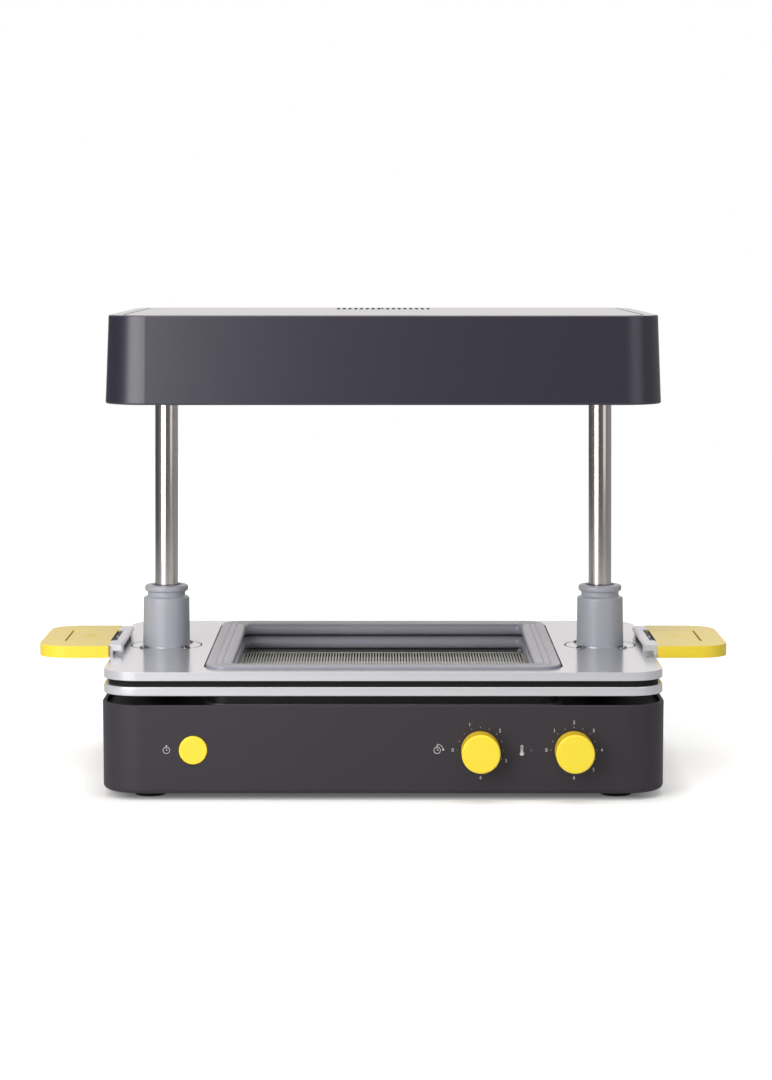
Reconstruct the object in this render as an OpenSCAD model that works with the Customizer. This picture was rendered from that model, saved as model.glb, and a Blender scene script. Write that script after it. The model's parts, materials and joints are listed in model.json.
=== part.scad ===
// Desktop vacuum former: a base with a vacuum bed, two trays that slide on steel posts,
// and a heater head above them. Z = 0 is the table. The posts stand in the plane y = mid_y.

/* [Placement] */
// Distance from the middle of the footprint back to the plane of the posts
mid_y = 7.9; // [0:0.1:12]

/* [Base] */
// Width of the base housing at its rim
base_w = 369.7; // [362:0.1:390]
// Depth of the base housing at its rim
base_d = 258.6; // [256:0.1:280]
// Corner radius of the base housing in plan
base_r = 27; // [20:0.5:34]
// Height of the rim above the table
base_top = 61.7; // [60:0.1:64]
// How far the walls lean in from the rim to the bottom, on each side
base_draft = 0.6; // [0:0.1:2]
// Thickness of the housing walls
base_wall = 3; // [2.4:0.1:4]
// Width of the raised rim round the deck
rim_w = 2.4; // [1.6:0.1:3]
// How far the deck lies below the rim
deck_drop = 4.5; // [3:0.1:5]
// Thickness of the deck
deck_t = 3; // [2:0.1:4]
// Radius along the bottom edge
base_edge = 3; // [1:0.1:4]
// Width of the chamfer along the rim
rim_edge = 0.5; // [0.2:0.1:1]
// Thickness of the bottom cover
cover_t = 2.6; // [2:0.1:4]

/* [Feet] */
// Diameter of a rubber foot
foot_d = 21; // [14:0.5:26]
// Height of a rubber foot
foot_h = 4; // [3:0.1:6]
// Distance of a foot's middle in from the base's side
foot_side = 31.85; // [26:0.05:60]
// Distance of a foot's middle in from the base's front and rear
foot_front = 23.3; // [20:0.1:48]

/* [Posts] */
// Diameter of a post
post_d = 16; // [14:0.1:17]
// Bore of the tube that a post is made of
post_bore = 12; // [8:0.1:13]
// Distance of a post's axis in from the base's side
post_in = 34.15; // [32:0.05:37]
// How far the posts stand above the roof of the head's wells
post_over = 8; // [6:0.1:9]
// Radius of the sockets that hold the posts in the base
socket_r = 14; // [12:0.5:16]

/* [Vacuum bed and seal] */
// Height of the bed's top face above the chamber's flange
bed_rise = 3.8; // [3.4:0.1:4.8]
// Thickness of the bed plate
bed_t = 1.2; // [0.8:0.1:1.6]
// Distance between the bed's slots, sideways
slot_pitch = 8.28; // [6:0.02:12]
// Width of a slot in the bed
slot_w = 3; // [1:0.1:4]
// Distance from a post's axis to the seal's lip
seal_post = 33.1; // [30:0.1:40]
// Distance from the seal's lip to the base's front
seal_front = 14.3; // [13:0.1:24]
// How far the seal's lip stands above the upper tray
seal_rise = 1.8; // [1:0.1:3]
// Thickness of the seal's wall
seal_t = 1.9; // [1.4:0.1:2.4]
// Outer radius of one fold of the bellows
fold_r = 4.1; // [3.6:0.05:4.6]
// Distance between the bellows' two folds
fold_pitch = 10; // [9.4:0.1:10.6]
// How far the folds' middle is set in from the lip's edge
fold_in = 13.5; // [12.8:0.1:14.6]
// How far the vacuum chamber's walls are set in from the lip's edge
tub_in = 9.6; // [9:0.1:12]
// Thickness of the vacuum chamber's walls
tub_wall = 3; // [2:0.1:4]

/* [Hose port] */
// Bore of the port that takes the vacuum hose
port_bore = 35; // [30:0.1:36]
// Height of the port above the table
port_z = 32.6; // [31:0.1:33]
// Wall of the port
port_wall = 2.5; // [2:0.1:3]
// Width of the port's flange round its tube
port_lip = 3; // [2:0.1:3]

/* [Trays] */
// How far the trays are set in from the base's sides
tray_side = 1.15; // [0:0.05:3]
// How far the trays are set in from the base's front and rear
tray_front = 0.3; // [0:0.1:3]
// Corner radius of the trays in plan
tray_r = 23; // [18:0.5:30]
// Gap between the base's rim and the lower tray
tray_gap = 5.9; // [5.4:0.1:6.6]
// Thickness of the lower tray
low_t = 5.9; // [5:0.1:6.4]
// Thickness of the gasket between the trays
gasket_t = 4.1; // [3:0.1:4.6]
// How far the gasket is set back from the trays' edge
gasket_in = 3; // [2:0.1:6]
// Thickness of the upper tray
up_t = 5.6; // [5:0.1:6]
// Gap between the seal's lip and the trays' opening
window_gap = 0.9; // [0.6:0.05:1.2]
// Corner radius of the trays' opening
window_r = 15; // [12:0.5:18]

/* [Collars] */
// Diameter of a collar's body at its foot
collar_d = 32.4; // [30:0.1:33]
// Height of a collar above the upper tray
collar_h = 42.3; // [38:0.1:43]
// Diameter of the neck under the collar's lip
neck_d = 26; // [25:0.1:28]
// Diameter of the collar's lip
lip_d = 30; // [29:0.1:31]
// Diameter of the collar's flange
flange_d = 48.7; // [46:0.1:50]
// Thickness of the collar's flange
flange_t = 3; // [2.4:0.1:3.4]
// Width of the gap round the collar's flange
flange_gap = 0.5; // [0.2:0.05:0.6]
// Wall of the bushes that run on the posts
bush_wall = 2; // [1.5:0.1:2.4]

/* [Latches and handles] */
// Length of a handle from its root to its tip
handle_l = 48.3; // [44:0.1:52]
// Width of a handle
handle_w = 106; // [90:0.5:112]
// Thickness of a handle
handle_t = 8.1; // [8:0.1:9]
// How far the handle's underside lies below the upper tray's top
handle_drop = 1.6; // [1.2:0.1:2]
// Corner radius at the handle's tip
handle_r = 20; // [12:0.5:24]
// Width of the latch lever
lever_w = 53.4; // [44:0.1:58]
// Length of the latch lever from the bracket
lever_l = 31.3; // [28:0.1:33]
// Thickness of the latch lever
lever_t = 5.2; // [4.8:0.1:5.4]
// Diameter of the thumb dimple
dimple_d = 15; // [10:0.5:20]
// Length of a latch bracket along the tray's edge
bracket_l = 96; // [84:0.5:100]
// Width of a latch claw
claw_w = 24; // [16:0.5:30]
// Thickness of the claw's spring steel
claw_t = 1.2; // [0.8:0.1:1.4]

/* [Heater head] */
// Height of the head's underside above the table
head_z = 256.9; // [256.5:0.1:257.5]
// Height of the head
head_h = 58.3; // [57:0.1:60]
// How far the head's underside is set in from the base's sides
head_side = 1.7; // [0:0.1:3]
// How far the head's underside is set in from the base's front and rear
head_front = 0.3; // [0:0.1:3]
// Corner radius of the head in plan
head_r = 28; // [22:0.5:32]
// How far the walls lean in from the underside to the top, on each side
head_draft = 1.9; // [0:0.1:3]
// Thickness of the head's walls
head_wall = 3; // [2.4:0.1:4]
// How far the top panel is set in from the head's sides
panel_side = 11.85; // [10:0.05:20]
// How far the top panel is set in from the head's front and rear
panel_front = 6; // [5.5:0.1:16]
// Thickness of the top panel
panel_t = 2.8; // [2:0.1:3]
// Distance between the vent slots
vent_pitch = 4.19; // [3.5:0.01:6]
// Number of vent slots
vent_n = 17; // [9:2:21]
// Width of a vent slot
vent_w = 2; // [1:0.1:2.4]
// Length of a vent slot
vent_l = 50; // [20:1:56]
// Distance of the vents' middle from the panel's rear edge
vent_back = 35; // [31:1:80]
// Distance from a post's axis to the opening under the heater
mouth_post = 26.7; // [26:0.1:36]
// Distance from the opening under the heater to the head's front
mouth_front = 25; // [22:1:40]
// Number of ceramic elements
element_n = 3; // [2:1:3]
// Gap between the ends of the elements and the opening's sides
element_gap = 6; // [4:0.5:20]
// Gap between one element and the next
element_space = 11.3; // [8:0.1:20]

/* [Controls] */
// Height of the controls above the table
ctl_z = 32.6; // [31:0.1:33]
// Distance of the heater knob from the base's right side
heater_in = 60.85; // [52:0.05:80]
// Distance between the two knobs
knob_pitch = 60.9; // [56:0.1:70]
// Distance of the start button from the base's left side
start_in = 61.15; // [50:0.05:80]
// Diameter of a knob
knob_d = 25.1; // [20:0.1:28]
// How far a knob stands out from the front
knob_h = 15.7; // [12:0.1:17]
// Diameter of the start button
button_d = 18.5; // [14:0.1:22]
// How far the start button travels
button_travel = 2; // [1:0.1:2.5]
// Diameter of a knob's shaft
shaft_d = 6; // [5:0.1:6.4]
// Distance of the control board behind the front wall
board_in = 15; // [14:0.1:17]

/* [Power inlet] */
// Distance of the inlet from the base's right side, in the rear wall
inlet_in = 56.85; // [48:0.05:90]
// Width of the inlet
inlet_w = 30; // [28:0.1:32]
// Height of the inlet
inlet_h = 23; // [21:0.1:25]
// Depth of the inlet behind the wall
inlet_deep = 17; // [15:0.1:20]

/* [Fits] */
// Gap all round between a shaft and the bore that it runs in
run = 0.05; // [0.02:0.01:0.1]
// Gap between a piece and the recess that it is set in
set_gap = 0.2; // [0.1:0.05:0.3]
// Radius of the small screws
screw_r = 1.5; // [1.2:0.05:1.7]
// Thickness of a small screw's head
screw_head = 1.3; // [1:0.1:1.5]

/* [Hidden] */
$fn = 64;

// Levels of the base
deck_z = base_top - deck_drop;
ceiling_z = deck_z - deck_t;
cover_top = foot_h + cover_t;
front_y = -base_d / 2;
inner_y = front_y + base_wall + base_draft;
boss_r = 4;
foot_x = base_w / 2 - foot_side;
foot_y = base_d / 2 - foot_front;
post_x = base_w / 2 - post_in;
socket_flange = 6;
socket_floor = 3;

// Vacuum chamber, bed and seal
seal_x = post_x - seal_post;
seal_y = base_d / 2 - seal_front;
tub_w = 2 * (seal_x - tub_in);
tub_d = 2 * (seal_y - tub_in);
tub_r = 12;
port_ease = 0.5;
tub_z = cover_top + 4.4;
flange_z = deck_z + tub_wall;
bed_z = flange_z + bed_rise;
seat_z = bed_z - bed_t;
bed_r = 8;
bed_margin = 4;
fold_x = seal_x - fold_in;
fold_y = seal_y - fold_in;
bed_gap = 1.3;
bed_x = fold_x - bed_gap;
bed_y = fold_y - bed_gap;
foot_in = 4.6;
foot_out = seal_x - foot_in;
foot_t = 1.8;
band_w = 6.2;
groove_w = 0.7;
groove_deep = 0.6;

// Trays
tray_w = base_w - 2 * tray_side;
tray_d = base_d - 2 * tray_front;
tray_x = tray_w / 2;
low_z = base_top + tray_gap;
gasket_z = low_z + low_t;
up_z = gasket_z + gasket_t;
up_top = up_z + up_t;
window_x = seal_x + window_gap;
window_y = seal_y + window_gap;
seal_top = up_top + seal_rise;
fold_top_z = seal_top - fold_r;
fold_low_z = fold_top_z - fold_pitch;
frame_gap = 1.2;
frame_in = 1.4;
frame_top = low_z - frame_gap;
frame_x = seal_x - frame_in;
frame_y = seal_y - frame_in;

// Collars
bush_r = post_d / 2 + run;
bush_out = bush_r + bush_wall;
bush_flange = 6;
low_bush = 1.5;
lip_top = up_top + collar_h;
collar_screw_ring = (collar_d + flange_d) / 4;

// Latches
leg_t = 2.5;
root_x = tray_x + leg_t;
handle_z = up_top - handle_drop;
handle_top = handle_z + handle_t;
bracket_top = handle_top + 0.3;
pivot_x = root_x - 1.6;
pivot_z = handle_top - 2.2;
pin_r = 0.8;
barrel_r = 1.6;
pocket_l = lever_l + 1.3;
bracket_lip = 8.8;
lip_x0 = root_x - bracket_lip;
shelf_t = 4.3;
shelf_z = bracket_top - shelf_t;
lug_l = 12;
lug_y = 34;
lug_x0 = lip_x0 + 0.5;
lug_screw_x = tray_x - 3.4;
lug_screw_r = 1;
lug_head_r = 1.9;
lug_thread = shelf_z - up_top + shelf_t / 2;
tongue_z = handle_z + 3;
tongue_t = 2;
tongue_w = 12;
tongue_l = 18;
tongue_y = 39;
handle_screw_x = root_x + 11;

// Heater head
head_w = base_w - 2 * head_side;
head_d = base_d - 2 * head_front;
head_top = head_z + head_h;
head_flange = 3;
head_stop = 1.9;
tray_travel = head_z - bracket_top - head_stop;
well_r = max(collar_d, lip_d) / 2 + 1.3;
well_wall = 2.5;
well_roof = lip_top + tray_travel + 3.5;
roof_t = 3;
clamp_wall = 5;
clamp_h = 7;
post_top = well_roof + post_over;
panel_w = head_w - 2 * panel_side;
panel_d = head_d - 2 * panel_front;
panel_r = 18;
vent_y = panel_d / 2 - vent_back;
mouth_w = 2 * (post_x - mouth_post);
mouth_d = head_d - 2 * mouth_front;
mouth_r = 8;
grille_z = head_z + head_flange;
grille_t = 1.2;
grille_rim = 6;
rod_r = 0.9;
rod_pitch_x = 24;
rod_pitch_y = 16;
rim_z = grille_z + grille_t;
reflector_t = 1;
reflector_rise = 25;
reflector_z = rim_z + reflector_rise;
terminal_in = 28;
cutout_in = 54;
cutout_x = mouth_w / 2 - cutout_in;
element_pitch = mouth_d / element_n;
element_w = element_pitch - element_space;
element_l = mouth_w - 2 * element_gap;
element_h = 12;
hanger_r = 6;

// Controls
heater_x = base_w / 2 - heater_in;
timer_x = heater_x - knob_pitch;
start_x = base_w / 2 - start_in;
start_lamp_x = -start_x - 24.6;
start_lamp_r = 0.7;
heat_lamp_x = heater_x - 27.7;
heat_lamp_r = 1;
button_gap = 0.45;
switch_bush_r = 4.5;
switch_w = 18;
board_y = inner_y + board_in;
board_t = 1.6;
board_side = 26.85;
board_z = tub_z + 3;
board_h = 34;
relay_l = 28;
relay_t = 9;
relay_h = 16;
lamp_chip = 4;
contact_t = 3.5;
shaft_deep = 10;
plunger_r = 1.8;
inlet_x = base_w / 2 - inlet_in;
pin_gap = 7;

// Screws
screw_head_r = 2 * screw_r;
small_head_r = screw_head_r - 0.3;
hex_r = 0.7 * screw_r;
cover_screw_at = [for (x = [-1, 1], y = [-1, 1]) each [[x * (base_w / 2 - 10.85), y * 70],
                                                       [x * 27, y * (base_d / 2 - 10.3)]]];
frame_screw_in = foot_in + 2.6;
frame_screw_at = concat([for (x = [-1, 1], y = [-60, 0, 60]) [x * (seal_x - frame_screw_in), y]],
                        [for (x = [-60, 0, 60], y = [-1, 1]) [x, y * (seal_y - frame_screw_in)]]);
grille_screw_at = [for (x = [-90, 0, 90], y = [-1, 1]) [x, y * (mouth_d / 2 + 3)]];

// Shapes used by several pieces

module at_posts() {
    translate([0, mid_y, 0]) children();
}

module both_sides() {
    children();
    mirror([1, 0, 0]) children();
}

module at_each(points, z) {
    for (p = points) translate([p[0], p[1], z]) children();
}

module soft_rect(w, d, r) {
    square([w - 2 * r, d], center = true);
    square([w, d - 2 * r], center = true);
    for (x = [-1, 1], y = [-1, 1]) translate([x * (w / 2 - r), y * (d / 2 - r)]) circle(r);
}

module soft_slab(w, d, r, z, h) {
    translate([0, 0, z]) linear_extrude(h) soft_rect(w, d, r);
}

module soft_ring(w, d, r, hole_w, hole_d, hole_r, z, h) {
    translate([0, 0, z]) linear_extrude(h) difference() {
        soft_rect(w, d, r);
        soft_rect(hole_w, hole_d, hole_r);
    }
}

// A ring of constant section on a rounded rectangle. The section is drawn outwards from the
// corners' centres, which lie at cx and cy
module swept_ring(cx, cy) {
    for (k = [0:3]) {
        quarter = k % 2 == 0;
        reach = quarter ? cx : cy;
        side = quarter ? cy : cx;
        rotate([0, 0, k * 90]) {
            translate([reach, side, 0]) rotate_extrude(angle = 90) children();
            translate([0, side, 0]) rotate([90, 0, 90])
                linear_extrude(2 * reach, center = true) children();
        }
    }
}

// A solid with the same outer section all round
module swept_solid(cx, cy, z, h) {
    swept_ring(cx, cy) children();
    translate([-cx, -cy, z]) cube([2 * cx, 2 * cy, h]);
}

function arc(x, z, r, from, to, steps = 6) =
    [for (i = [0:steps]) let (a = from + (to - from) * i / steps) [x + r * cos(a), z + r * sin(a)]];

// Tube on the Z axis
module tube(r, bore_r, z, h) {
    translate([0, 0, z]) difference() {
        cylinder(h = h, r = r);
        translate([0, 0, -1]) cylinder(h = h + 2, r = bore_r);
    }
}

// Turns a shape from the Z axis to point back along Y from the front face
module from_front(x, y) {
    translate([x, y, ctl_z]) rotate([-90, 0, 0]) children();
}

// Base

module base_outline() {
    r_low = base_r - base_draft;
    polygon(concat(
        [[0, foot_h]],
        arc(r_low - base_edge, foot_h + base_edge, base_edge, -90, 0),
        [[base_r, base_top - rim_edge], [base_r - rim_edge, base_top], [0, base_top]]
    ));
}

module base_housing() {
    color([0.26, 0.25, 0.27]) at_posts() difference() {
        cx = base_w / 2 - base_r;
        cy = base_d / 2 - base_r;
        in_w = base_w - 2 * base_draft - 2 * base_wall;
        in_d = base_d - 2 * base_draft - 2 * base_wall;
        in_r = base_r - base_draft - base_wall;
        union() {
            difference() {
                swept_solid(cx, cy, foot_h, base_top - foot_h) base_outline();
                soft_slab(in_w, in_d, in_r, foot_h - 1, ceiling_z - foot_h + 1);
                soft_slab(base_w - 2 * rim_w, base_d - 2 * rim_w, base_r - rim_w, deck_z, deck_drop + 1);
            }
            at_each(cover_screw_at, cover_top) cylinder(h = ceiling_z - cover_top + 1, r = boss_r);
        }
        soft_slab(tub_w + 2 * set_gap, tub_d + 2 * set_gap, tub_r, ceiling_z - 1, deck_t + 2);
        at_each(cover_screw_at, cover_top - 1) cylinder(h = 3 * boss_r, r = screw_r);
        both_sides() translate([post_x, 0, ceiling_z - 1]) cylinder(h = deck_t + 2, r = post_d / 2);
        from_front(-start_x, front_y - 1) cylinder(h = base_wall + 3, r = button_d / 2 + button_gap);
        for (x = [timer_x, heater_x]) from_front(x, front_y - 1)
            cylinder(h = base_wall + 3, r = switch_bush_r + set_gap);
        from_front(start_lamp_x, front_y - 1) cylinder(h = base_wall + 3, r = start_lamp_r);
        from_front(heat_lamp_x, front_y - 1) cylinder(h = base_wall + 3, r = heat_lamp_r);
        translate([0, -inner_y - 1, port_z]) rotate([-90, 0, 0])
            cylinder(h = base_wall + 3, r = port_bore / 2 + port_wall + set_gap);
        translate([0, -front_y - 2, port_z]) rotate([-90, 0, 0])
            cylinder(h = 4, r = port_bore / 2 + port_wall + port_lip + set_gap);
        translate([inlet_x, -front_y - 4, port_z]) cube([inlet_w, 12, inlet_h], center = true);
    }
}

module bottom_cover() {
    color([0.2, 0.2, 0.22]) at_posts() difference() {
        soft_slab(
            base_w - 2 * (base_draft + base_wall + set_gap),
            base_d - 2 * (base_draft + base_wall + set_gap),
            base_r - base_draft - base_wall - set_gap,
            foot_h, cover_t
        );
        at_each(cover_screw_at, foot_h - 1) cylinder(h = cover_t + 2, r = screw_r);
        at_each(cover_screw_at, foot_h - 1) cylinder(h = screw_head + 1.1, r = screw_head_r + set_gap);
    }
}

module cover_screws() {
    color([0.3, 0.3, 0.32]) at_posts() at_each(cover_screw_at, foot_h) {
        difference() {
            translate([0, 0, 0.1]) cylinder(h = screw_head, r = screw_head_r);
            translate([0, 0, -0.5]) cylinder(h = screw_head, r = hex_r, $fn = 6);
        }
        translate([0, 0, 1]) cylinder(h = cover_t + boss_r, r = screw_r);
    }
}

module rubber_feet() {
    color([0.13, 0.13, 0.14]) at_posts() for (x = [-1, 1], y = [-1, 1])
        translate([x * foot_x, y * foot_y, 0]) rotate_extrude() polygon(concat(
            [[0, 0]],
            arc(foot_d / 2 - 1.2, 1.2, 1.2, -90, 0),
            [[foot_d / 2, foot_h], [0, foot_h]]
        ));
}

module vacuum_chamber() {
    color([0.5, 0.52, 0.54]) at_posts() difference() {
        union() {
            soft_slab(tub_w, tub_d, tub_r, tub_z, deck_z - tub_z);
            soft_slab(2 * frame_x, 2 * frame_y, window_r - frame_in, deck_z, tub_wall);
        }
        soft_slab(tub_w - 2 * tub_wall, tub_d - 2 * tub_wall, tub_r - tub_wall, tub_z + tub_wall, deck_z);
        translate([0, tub_d / 2 - 8, port_z]) rotate([-90, 0, 0])
            cylinder(h = 20, r = port_bore / 2 + port_ease);
        at_each(frame_screw_at, deck_z - 1) cylinder(h = tub_wall + 2, r = screw_r);
    }
}

// Folded sheet-metal pan, slotted all over except for a margin along its edge
module vacuum_bed() {
    reach = bed_x - bed_margin;
    count = floor(2 * (reach - slot_w / 2) / slot_pitch / 2);
    row_l = (2 * (bed_y - bed_margin) - 2 * bed_margin) / 3;
    color([0.72, 0.72, 0.68]) at_posts() {
        translate([0, 0, seat_z]) linear_extrude(bed_t) difference() {
            soft_rect(2 * bed_x, 2 * bed_y, bed_r);
            for (i = [-count:count], row = [-1:1]) translate([i * slot_pitch, row * (row_l + bed_margin)])
                square([slot_w, row_l], center = true);
        }
        soft_ring(2 * bed_x, 2 * bed_y, bed_r, 2 * (bed_x - bed_t), 2 * (bed_y - bed_t), bed_r - bed_t,
                  flange_z, seat_z - flange_z + 0.2);
    }
}

// Section of the bellows: two folds open to the outside, over a wall and a foot that is clamped
module seal_section(corner_r) {
    x = corner_r;
    wall_x = x - bed_gap / 2;
    difference() {
        union() {
            for (z = [fold_top_z, fold_low_z]) translate([x, z]) circle(fold_r);
            translate([x, fold_low_z]) square([fold_r, fold_pitch]);
            translate([x, fold_top_z]) square([fold_r, fold_r]);
            translate([wall_x, flange_z]) square([seal_t, fold_low_z - flange_z]);
            translate([wall_x, flange_z]) square([fold_in - foot_in + bed_gap / 2, foot_t]);
        }
        for (z = [fold_top_z, fold_low_z]) {
            translate([x, z]) circle(fold_r - seal_t);
            translate([x, z - fold_r + seal_t]) square([fold_r + 1, 2 * (fold_r - seal_t)]);
        }
    }
}

// Flat ring that runs round the lip, from one distance to another in from its edge
module lip_ring(from, to, z, h) {
    edge_r = window_r - window_gap;
    lean = (edge_r - bed_r) / fold_in;
    soft_ring(2 * (seal_x - from), 2 * (seal_y - from), edge_r - from * lean,
              2 * (seal_x - to), 2 * (seal_y - to), edge_r - to * lean, z, h);
}

module bellows_seal() {
    color([0.52, 0.52, 0.55]) at_posts() difference() {
        union() {
            swept_ring(fold_x - bed_r, fold_y - bed_r) seal_section(bed_r);
            lip_ring(0, fold_in, seal_top - seal_t, seal_t);
            lip_ring(0, seal_t, seal_top - band_w, band_w);
        }
        for (k = [1, 1.7])
            lip_ring(k * band_w - groove_w / 2, k * band_w + groove_w / 2, seal_top - groove_deep, 1);
        at_each(frame_screw_at, flange_z - 1) cylinder(h = foot_t + 2, r = screw_r);
    }
}

// Frame that clamps the seal's foot to the chamber's flange
module seal_frame() {
    inner_x = fold_x + bed_gap / 2 + seal_t;
    inner_y = fold_y + bed_gap / 2 + seal_t;
    foot_y_out = seal_y - foot_in;
    color([0.2, 0.2, 0.22]) at_posts() difference() {
        soft_ring(2 * frame_x, 2 * frame_y, window_r - frame_in, 2 * inner_x, 2 * inner_y, bed_r + seal_t,
                  flange_z, frame_top - flange_z);
        soft_slab(2 * foot_out, 2 * foot_y_out, window_r - foot_in, flange_z - 1, foot_t + 1);
        at_each(frame_screw_at, flange_z) cylinder(h = 10, r = screw_r);
        at_each(frame_screw_at, frame_top - 2) cylinder(h = 4, r = small_head_r + set_gap);
    }
}

module seal_frame_screws() {
    color([0.4, 0.4, 0.42]) at_posts() at_each(frame_screw_at, 0) {
        translate([0, 0, frame_top - 2]) cylinder(h = screw_head, r = small_head_r);
        translate([0, 0, deck_z + 0.5]) cylinder(h = frame_top - 2 - deck_z, r = screw_r);
    }
}

module hose_port() {
    start = tub_d / 2;
    end = -front_y;
    color([0.24, 0.24, 0.26]) at_posts() translate([0, 0, port_z]) rotate([-90, 0, 0]) difference() {
        union() {
            translate([0, 0, start]) cylinder(h = end - start, r = port_bore / 2 + port_wall);
            translate([0, 0, end - 2]) cylinder(h = 2, r = port_bore / 2 + port_wall + port_lip);
        }
        translate([0, 0, start - 1]) cylinder(h = end - start + 2, r = port_bore / 2);
    }
}

// Posts

module post() {
    foot = cover_top + socket_floor;
    translate([post_x, 0, 0]) tube(post_d / 2, post_bore / 2, foot, post_top - foot);
}

module post_right() {
    color([0.75, 0.73, 0.71]) at_posts() post();
}

module post_left() {
    color([0.75, 0.73, 0.71]) at_posts() mirror([1, 0, 0]) post();
}

// Flanged castings on the bottom cover, with a floor that the posts stand on
module post_sockets() {
    color([0.5, 0.5, 0.52]) at_posts() both_sides() translate([post_x, 0, 0]) difference() {
        union() {
            translate([0, 0, cover_top]) cylinder(h = ceiling_z - cover_top, r = socket_r);
            translate([0, 0, cover_top]) cylinder(h = socket_floor + 1, r = socket_r + socket_flange);
        }
        translate([0, 0, cover_top + socket_floor]) cylinder(h = ceiling_z, r = post_d / 2);
        translate([0, 0, cover_top - 1]) cylinder(h = 6, r = post_bore / 3);
    }
}

module post_clamps() {
    color([0.45, 0.45, 0.47]) at_posts() both_sides() translate([post_x, 0, 0]) difference() {
        translate([0, 0, well_roof + roof_t]) cylinder(h = clamp_h, r = post_d / 2 + clamp_wall);
        translate([0, 0, well_roof]) cylinder(h = 2 * clamp_h, r = post_d / 2);
        translate([post_d / 2 - 1, 0, well_roof + roof_t + clamp_h / 2]) rotate([0, 90, 0])
            cylinder(h = clamp_wall + 2, r = screw_r);
    }
}

// Leads to the heater, which rise inside the left post
module heater_leads() {
    color([0.6, 0.3, 0.2]) at_posts() translate([-post_x, 0, 0]) for (a = [0, 120, 240])
        rotate([0, 0, a]) translate([post_bore / 4, 0, cover_top + socket_floor + 1])
            cylinder(h = post_top - cover_top, r = 1.4);
}

// Controls in the base

module control_board() {
    color([0.1, 0.35, 0.2]) at_posts() {
        board_w = base_w - 2 * board_side;
        translate([-board_w / 2, board_y, board_z]) cube([board_w, board_t, board_h]);
        translate([-relay_l / 2, board_y - relay_t, ctl_z - relay_h / 2]) cube([relay_l, relay_t, relay_h]);
        for (x = [start_lamp_x, heat_lamp_x])
            translate([x - lamp_chip / 2, board_y - lamp_chip / 2, ctl_z - lamp_chip / 2])
                cube([lamp_chip, lamp_chip / 2, lamp_chip]);
    }
}

// Rotary switch with a round bush through the housing wall
module rotary_switch(x) {
    difference() {
        union() {
            translate([x - switch_w / 2, inner_y + set_gap, ctl_z - switch_w / 2])
                cube([switch_w, board_in - set_gap, switch_w]);
            from_front(x, front_y + set_gap) cylinder(h = base_wall + base_draft + 1, r = switch_bush_r);
        }
        from_front(x, front_y - 1) cylinder(h = shaft_deep + 2, r = shaft_d / 2 + run);
    }
}

module timer_switch() {
    color([0.3, 0.32, 0.35]) at_posts() rotary_switch(timer_x);
}

module heater_switch() {
    color([0.3, 0.32, 0.35]) at_posts() rotary_switch(heater_x);
}

module start_switch() {
    color([0.3, 0.32, 0.35]) at_posts() {
        translate([-start_x - 6, board_y - contact_t, ctl_z - 6]) cube([12, contact_t, 12]);
        from_front(-start_x, board_y - contact_t - 1.5) cylinder(h = 2, r = plunger_r);
    }
}

module light_pipes() {
    color([0.85, 0.85, 0.85]) at_posts() {
        pipe_l = board_y - lamp_chip / 2 - front_y;
        from_front(start_lamp_x, front_y) cylinder(h = pipe_l, r = start_lamp_r);
        from_front(heat_lamp_x, front_y) cylinder(h = pipe_l, r = heat_lamp_r);
    }
}

// Three-pin inlet in the rear wall
module power_inlet() {
    back = -front_y - base_draft;
    color([0.12, 0.12, 0.13]) at_posts() translate([inlet_x, back - inlet_deep - 2, port_z]) {
        difference() {
            translate([0, (inlet_deep + 2) / 2, 0])
                cube([inlet_w - 2 * set_gap, inlet_deep + 2, inlet_h - 2 * set_gap], center = true);
            translate([0, inlet_deep / 2 + 3, 0])
                cube([inlet_w - 6, inlet_deep + 2, inlet_h - 6.6], center = true);
        }
        for (p = [[-pin_gap, -2], [0, 2], [pin_gap, -2]])
            translate([p[0], inlet_deep / 2, p[1]]) cube([2, inlet_deep - 3.5, 4], center = true);
    }
}

// Heater head

module head_outline() {
    r_top = head_r - head_draft;
    polygon(concat(
        [[0, head_z]],
        arc(head_r - 1.2, head_z + 1.2, 1.2, -90, 0, 4),
        arc(r_top - 1, head_top - 1, 1, 0, 90, 4),
        [[0, head_top]]
    ));
}

module heater_housing() {
    cx = head_w / 2 - head_r;
    cy = head_d / 2 - head_r;
    ledge_z = head_top - panel_t;
    lean = 2 * head_draft;
    color([0.28, 0.27, 0.31]) at_posts() difference() {
        union() {
            difference() {
                swept_solid(cx, cy, head_z, head_h) head_outline();
                soft_slab(head_w - lean - 2 * head_wall, head_d - lean - 2 * head_wall,
                          head_r - head_draft - head_wall, grille_z, ledge_z - 3 - grille_z);
                soft_slab(panel_w - 10, panel_d - 10, panel_r - 4, ledge_z - 4, 10);
                soft_slab(panel_w + 2 * set_gap, panel_d + 2 * set_gap, panel_r + set_gap, ledge_z, 10);
            }
            both_sides() translate([post_x, 0, grille_z - 1])
                cylinder(h = well_roof + roof_t - grille_z + 1, r = well_r + well_wall);
        }
        soft_slab(mouth_w, mouth_d, mouth_r, head_z - 1, head_flange + 2);
        both_sides() translate([post_x, 0, head_z - 1]) cylinder(h = well_roof - head_z + 1, r = well_r);
        both_sides() translate([post_x, 0, well_roof - 1]) cylinder(h = roof_t + 3, r = post_d / 2);
        at_each(grille_screw_at, head_z - 1) cylinder(h = 6, r = screw_r);
        at_each(grille_screw_at, head_z - 1) cylinder(h = screw_head + 1.1, r = screw_head_r + set_gap);
    }
}

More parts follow.
